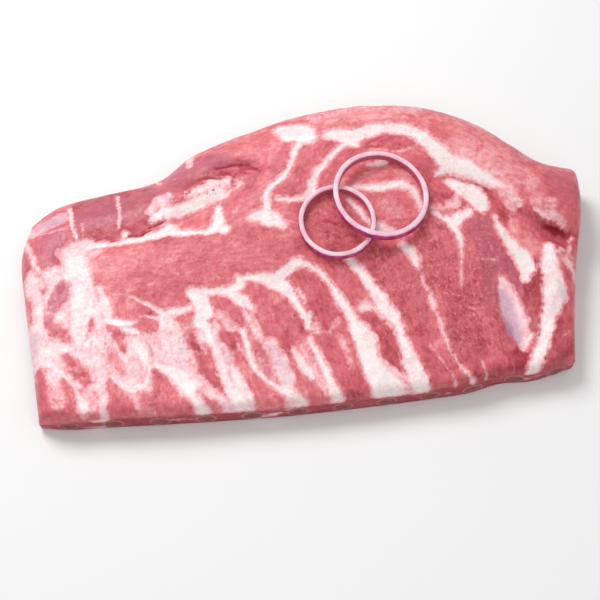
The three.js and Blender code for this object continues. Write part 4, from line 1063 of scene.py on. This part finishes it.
def top_relief(x, y, marks, rounding):
    """Finer forms on the top: muscles bulge between their seams, folds sink, and the whole is uneven."""
    relief = MUSCLE_BULGE * smoothstep(1 - marks["fat"], 0.3, 0.9)
    for rise, size, seed in UNEVENNESS:
        relief = relief + rise * noise(x, y, size, seed, 2)
    relief = relief + FIBRE_RISE * noise(marks["across"], marks["along"] / FIBRE_STRETCH, FIBRE_SIZE, 6.6, 2)
    relief = relief - FOLD_DEPTH * marks["crease_and_shade"] - SILVER_SKIN_DEPTH * marks["lilac"]
    return relief * smoothstep(rounding, 0.1, 0.7)


def slab_top(sides):
    """The top's points and their markings."""
    x, y, rim, _ = np.moveaxis(patch(sides), -1, 0)
    v = np.broadcast_to(spaced(np.linspace(0, 1, ACROSS + 1))[None], x.shape)
    z, rounding = top_height(x, y, v, rim, sides)
    marks = markings(x, y)
    z = z + top_relief(x, y, marks, rounding)
    return np.stack([x, y, z], -1).reshape(-1, 3), {key: value.ravel() for key, value in marks.items()}


def wall_row(loop, inward, run, at_rim, t):
    """The wall's points and their markings at share t of the way down from the widest line."""
    inset = loop[:, 3] * (1 - np.sqrt(1 - WALL_CURVE * t * t))
    height = loop[:, 2] * (1 - t)
    uneven = noise(run, height * WALL_SQUEEZE, WALL_SIZE, 8.8) * WALL_RISE * math.sin(math.pi * t) ** 0.5
    plan = loop[:, :2] + inward * (inset + uneven)[:, None]
    strata = noise(run, height * STRATA_SQUEEZE, STRATA_SIZE, 21.0)
    fade = float(smoothstep(t, 0.0, WALL_FADE))
    # The wall is painted as if in shade. It is deep red all over, and it darkens downwards as painted shade:
    # the value of its dark folds rises and its fat thins towards the foot.
    marks = {key: lerp(at_rim[key], value, fade) for key, value in {
        "fat": np.clip(0.3 + 1.6 * (strata - 0.3) - 0.25 * t, 0, 0.8), "deep": 1 + 0.1 * strata,
        "crease_and_shade": 0.14 + 0.3 * t, "mauve": 0.12, "lilac": 0, "specks": 0, "flecks": 0.2,
    }.items()}
    marks.update(along=run, across=height * 1.5 + WALL_FIBRES)
    return np.column_stack([plan, height]), marks


def bone_side(foot, inside):
    """The underside's points within the foot of the wall, picked from its grid, and their markings."""
    ends = np.cumsum([0, ALONG, ACROSS, ALONG, ACROSS])
    foot = np.vstack([foot, foot])[:, :2]
    sawn, shoulder, brisket, flank = (foot[a:b + 1:2] for a, b in zip(ends[:-1], ends[1:]))
    plan = patch({"sawn": sawn, "shoulder": shoulder, "brisket": brisket[::-1], "flank": flank[::-1]})
    x, y = plan.reshape(-1, 2)[inside].T
    bones = distance_to_ribs(RIB_UNDER, x, y)
    arch = underside_height(x, y)
    film = FILM_RISE * bell(bones / FILM_HALF) + FILM_UNEVEN * noise(x, y, FILM_SIZE, 31.0)
    z = np.maximum(arch - film * smoothstep(arch, 0.3, 3), 0)
    marks = {
        "fat": np.clip(0.3 + 0.5 * bell((bones - 9) / 3) + 0.12 * noise(x, y, 14, 33.0), 0, 0.8),
        "deep": 0.62, "crease_and_shade": 0, "mauve": 0.2, "lilac": 0.25 + 0.2 * bell(bones / 8), "specks": 0,
        "flecks": 0, "along": x, "across": y + UNDER_FIBRES,
    }
    return np.column_stack([x, y, z]), {key: np.broadcast_to(value, x.shape) for key, value in marks.items()}


def slab_of_meat(material):
    """One closed mesh: the top, the wall below its edge row by row, the bone side within the wall's foot."""
    sides = slab_sides(ALONG, ACROSS)
    loop = edge_loop(sides)
    inward, run = wall_insets(loop), run_along(loop[:, :2])
    top, marks = slab_top(sides)
    parts = [(top, marks)]
    faces = list(grid_quads(ALONG, ACROSS))
    above, count = grid_loop(ALONG, ACROSS), len(top)
    at_rim = {key: values[above] for key, values in marks.items()}
    for row in range(1, WALL_ROWS + 1):
        parts.append(wall_row(loop, inward, run, at_rim, row / WALL_ROWS))
        now = count + np.arange(len(loop))
        faces.extend(np.stack([now, np.roll(now, -1), np.roll(above, -1), above], -1))
        above, count = now, count + len(loop)

    # The bone side has every other point of the wall's foot; triangles take up those between.
    edge = grid_loop(*UNDER_CELLS)
    inside = np.setdiff1d(grid_cells(*UNDER_CELLS), edge)
    parts.append(bone_side(parts[-1][0], inside))
    numbers = np.empty(len(inside) + len(edge), int)
    numbers[inside], numbers[edge] = count + np.arange(len(inside)), above[::2]
    faces.extend(numbers[grid_quads(*UNDER_CELLS)][:, ::-1])
    faces.extend(np.stack([above[::2], np.roll(above[::2], -1), above[1::2]], -1))

    points = np.vstack([part[0] for part in parts])
    marks = {key: np.concatenate([part[1][key] for part in parts]) for key in marks}
    return new_piece("meat_slab", points, faces, material, marks)


# ---- Ribs and onion rings, made by node trees ----


def made_by(tree, name, source, values):
    """The plain mesh that a node tree makes of a source mesh, with its inputs set by name."""
    carrier = link(bpy.data.objects.new(name, source))
    modifier = carrier.modifiers.new("shape", "NODES")
    modifier.node_group = tree
    for item in tree.interface.items_tree:
        if item.in_out == "INPUT" and item.name in values:
            modifier[item.identifier] = values[item.name]
    result = bpy.data.meshes.new_from_object(carrier.evaluated_get(bpy.context.evaluated_depsgraph_get()))
    carrier.modifiers.clear()
    carrier.data = result
    return carrier


def geometry_tree(name, inputs):
    """A tree for a form with these inputs, and with those of the bumps on it."""
    rough = {"Unevenness": ("Float", 0.3 * MM), "Bump Size": ("Float", 10 * MM), "Seed": ("Float", 1.0)}
    inputs = {"Geometry": ("Geometry",), **inputs, **rough}
    tree, given, result = group_tree(name, "GeometryNodeTree", inputs, {"Geometry": ("Geometry",)})
    tree.is_modifier = True
    return tree, given, result


def geo(tree, kind, inputs=(), **settings):
    """What a geometry node of that kind puts out."""
    return node(tree, "GeometryNode" + kind, inputs, **settings).outputs[0]


def finish_tree(tree, given, form, material, result):
    """Pushes the surface in and out by smooth noise and gives it its material."""
    bumps = node(tree, "ShaderNodeTexNoise", {
        "Vector": geo(tree, "InputPosition"), "W": given["Seed"],
        "Scale": maths(tree, "DIVIDE", 1.0, given["Bump Size"]), "Detail": 2.0,
    }, noise_dimensions="4D").outputs["Fac"]
    push = times(tree, stray(tree, bumps, 2.0), given["Unevenness"])
    normal = geo(tree, "InputNormal")
    push = node(tree, "ShaderNodeVectorMath", {0: normal, "Scale": push}, operation="SCALE").outputs[0]
    form = geo(tree, "SetPosition", {"Geometry": form, "Offset": push})
    form = geo(tree, "SetShadeSmooth", {"Geometry": form})
    form = geo(tree, "RealizeInstances", {"Geometry": form})
    tree.links.new(geo(tree, "SetMaterial", {"Geometry": form, "Material": material}), result.inputs[0])


def rib_tree(material):
    """Bars of elliptical section along the source's lines, tapered by the points' girth."""
    tree, given, result = geometry_tree("rib bones", {
        "Width": ("Float", RIB_WIDTH * MM), "Thickness": ("Float", RIB_THICKNESS * MM)})
    girth = geo(tree, "InputNamedAttribute", {"Name": "girth"})
    lines = geo(tree, "MeshToCurve", {"Mesh": given["Geometry"]})
    lines = geo(tree, "SetCurveRadius", {0: lines, "Radius": girth})
    lines = geo(tree, "SetCurveNormal", {0: lines}, mode="Z_UP")
    half = node(tree, "ShaderNodeCombineXYZ", {
        "X": times(tree, given["Width"], 0.5), "Y": times(tree, given["Thickness"], 0.5), "Z": 1.0})
    section = geo(tree, "CurvePrimitiveCircle", {"Resolution": SECTION_POINTS, "Radius": 1.0})
    section = geo(tree, "Transform", {"Geometry": section, "Scale": half.outputs[0]})
    bars = geo(tree, "CurveToMesh", {
        "Curve": lines, "Profile Curve": section, "Scale": girth, "Fill Caps": True})
    finish_tree(tree, given, bars, material, result)
    return tree


def rib_lines():
    """The ribs' middle lines from the saw cut to their far ends, with a girth and a core at each point."""
    points, edges, girths, cores = [], [], [], []
    looks = np.linspace(0, 1, RIB_LOOKS)
    for index in range(RIB_COUNT):
        x, y, _ = rib_at(index, looks)
        start = looks[np.argmax(y >= sawn_y(x[RIB_NEAR_CUT]) - RIB_PROUD)]
        shares = np.concatenate([
            start + CUT_RING_GAP * np.arange(len(CUT_RINGS)), np.linspace(start + BAR_START, 1, RIB_STEPS),
        ])
        girth = lerp(RIB_TIP, 1, quarter((1 - shares) * RIB_TAPER))
        girth[:len(CUT_RINGS)] *= CUT_RINGS
        first = len(points)
        points += list(zip(*rib_at(index, shares)))
        edges += [(first + k, first + k + 1) for k in range(len(shares) - 1)]
        girths += list(girth)
        cores += [1 - g for g in CUT_RINGS] + [BONE_CORE] * RIB_STEPS
    source = bpy.data.meshes.new("rib lines")
    source.from_pydata(to_row_frame(points).tolist(), edges, [])
    store(source, "girth", girths)
    store(source, "core", cores)
    return source


def rib_bones(material):
    """The ribs as one piece, their cut ends lying in the sawn face."""
    bones = made_by(rib_tree(material), "rib_bones", rib_lines(), {
        "Width": RIB_WIDTH * MM, "Thickness": RIB_THICKNESS * MM, "Unevenness": RIB_RISE * MM,
        "Bump Size": RIB_BUMPS * MM, "Seed": 4.0})
    core = np.zeros(len(bones.data.vertices))
    bones.data.attributes["core"].data.foreach_get("value", core)
    points = mesh_points(bones.data) - SHIFT
    cut = core > BONE_CUT[0]
    points[cut, 1] = sawn_y(points[cut, 0]) - RIB_PROUD * smoothstep(core[cut], *BONE_CUT)
    move_points(bones.data, points)
    return bones


def ring_tree(material):
    """A slice of onion: a rounded square section swept round a circle."""
    tree, given, result = geometry_tree("onion ring", {
        "Radius": ("Float", 30 * MM), "Wall": ("Float", 4 * MM), "Depth": ("Float", 6 * MM),
        "Corner": ("Float", 1 * MM)})
    middle = maths(tree, "SUBTRACT", given["Radius"], times(tree, given["Wall"], 0.5))
    circle = geo(tree, "CurvePrimitiveCircle", {"Resolution": RING_POINTS, "Radius": middle})
    section = geo(tree, "CurvePrimitiveQuadrilateral", {"Width": given["Wall"], "Height": given["Depth"]})
    section = geo(tree, "FilletCurve", {0: section, "Radius": given["Corner"]})
    section = geo(tree, "ResampleCurve", {"Curve": section, "Count": SECTION_POINTS})
    sideways = node(tree, "ShaderNodeSeparateXYZ", {0: geo(tree, "InputPosition")}).outputs[0]
    sideways = maths(tree, "DIVIDE", sideways, given["Wall"])
    section = geo(tree, "StoreNamedAttribute", {
        "Geometry": section, "Name": "sideways", "Value": sideways}, domain="POINT")
    body = geo(tree, "CurveToMesh", {"Curve": circle, "Profile Curve": section})
    finish_tree(tree, given, body, material, result)
    return tree


def node_plane(name, ring):
    """The plane of a ring's solid: the mean slope and height of its middle line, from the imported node."""
    x, y = ring[:2]
    dx, dy, z = (mesh_points(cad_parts[name].data) - SHIFT - (x, y, 0)).T
    turn = np.round(np.degrees(np.arctan2(dy, dx))).astype(int)
    middles = []
    for degrees in np.unique(turn):
        here, angle = turn == degrees, math.radians(degrees)
        radius = np.hypot(dx[here], dy[here]).mean()
        middle = (z[here].min() + z[here].max()) / 2
        middles.append((radius * math.cos(angle), radius * math.sin(angle), 1, middle))
    middles = np.array(middles)
    return np.linalg.lstsq(middles[:, :3], middles[:, 3], rcond=None)[0]


def onion_ring(name, ring, tree, seed):
    x, y, outer, wall, depth = ring
    slope_x, slope_y, height = node_plane(name, ring)
    piece = made_by(tree, name + "_slice", bpy.data.meshes.new(name + " source"), {
        "Radius": outer * MM, "Wall": wall * MM, "Depth": depth * MM, "Corner": RING_CORNER * MM,
        "Unevenness": RING_RISE * MM, "Bump Size": RING_BUMPS * MM, "Seed": seed})
    points = mesh_points(piece.data)
    points[:, 2] += height + slope_x * points[:, 0] + slope_y * points[:, 1]
    move_points(piece.data, points + (x, y, 0))
    return piece


# ---- Stage, camera and light ----

FLOOR_HALF = 3
FLOOR_GREY, FLOOR_ROUGHNESS = 0.86, 0.9
CAMERA_AT, CAMERA_TARGET, LENS = (-0.07553, -0.47915, 0.72782), (-0.01266, -0.03819, 0.015), 70
LIGHTS_TARGET = (0, 0, 0.02)
LIGHTS = {"key": ((-0.5, 0.75, 1.1), 0.7, 14), "fill": ((0.3, -0.9, 1.2), 1.2, 4)}  # place, size, watts
SKY_STRENGTH = 0.5


def floor():
    material, tree, shader = new_material("pale floor")
    give(tree, shader, {"Base Color": (FLOOR_GREY, FLOOR_GREY, FLOOR_GREY, 1), "Roughness": FLOOR_ROUGHNESS})
    mesh = bpy.data.meshes.new("floor")
    corners = [(x * FLOOR_HALF, y * FLOOR_HALF, 0) for x, y in ((-1, -1), (1, -1), (1, 1), (-1, 1))]
    mesh.from_pydata(corners, [], [(0, 1, 2, 3)])
    mesh.materials.append(material)
    return link(bpy.data.objects.new("floor", mesh))


def pointed(name, data, at, target):
    """A camera or a light at one place, looking at another."""
    made = link(bpy.data.objects.new(name, data))
    made.location = at
    made.rotation_euler = (Vector(target) - Vector(at)).to_track_quat("-Z", "Y").to_euler()
    return made


def camera():
    data = bpy.data.cameras.new("camera")
    data.lens = LENS
    bpy.context.scene.camera = pointed("camera", data, CAMERA_AT, CAMERA_TARGET)


def studio():
    world = bpy.data.worlds.new("studio")
    bpy.context.scene.world = world
    world.use_nodes = True
    sky = world.node_tree.nodes["Background"]
    give(world.node_tree, sky, {"Color": (1, 1, 1, 1), "Strength": SKY_STRENGTH})
    for name, (at, size, watts) in LIGHTS.items():
        data = bpy.data.lights.new(name, "AREA")
        data.shape = "DISK"
        data.size = size
        data.energy = watts
        pointed(name, data, at, LIGHTS_TARGET)
    bpy.context.scene.view_settings.view_transform = "Standard"


# ---- The object ----

camera()
studio()
floor()

pork, bone, onion = meat_material(), bone_material(), onion_material()

meat = slab_of_meat(pork)
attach(meat, "root")
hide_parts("meat")

bones = rib_bones(bone)
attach(bones, "root")
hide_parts(*[f"rib_{i + 1:02d}" for i in range(RIB_COUNT)])

rings = ring_tree(onion)
for node_name, ring, seed in (("onion_ring_large", LARGE_RING, 2.0), ("onion_ring_small", SMALL_RING, 7.0)):
    piece = onion_ring(node_name, ring, rings, seed)
    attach(piece, "root")
    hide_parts(node_name)
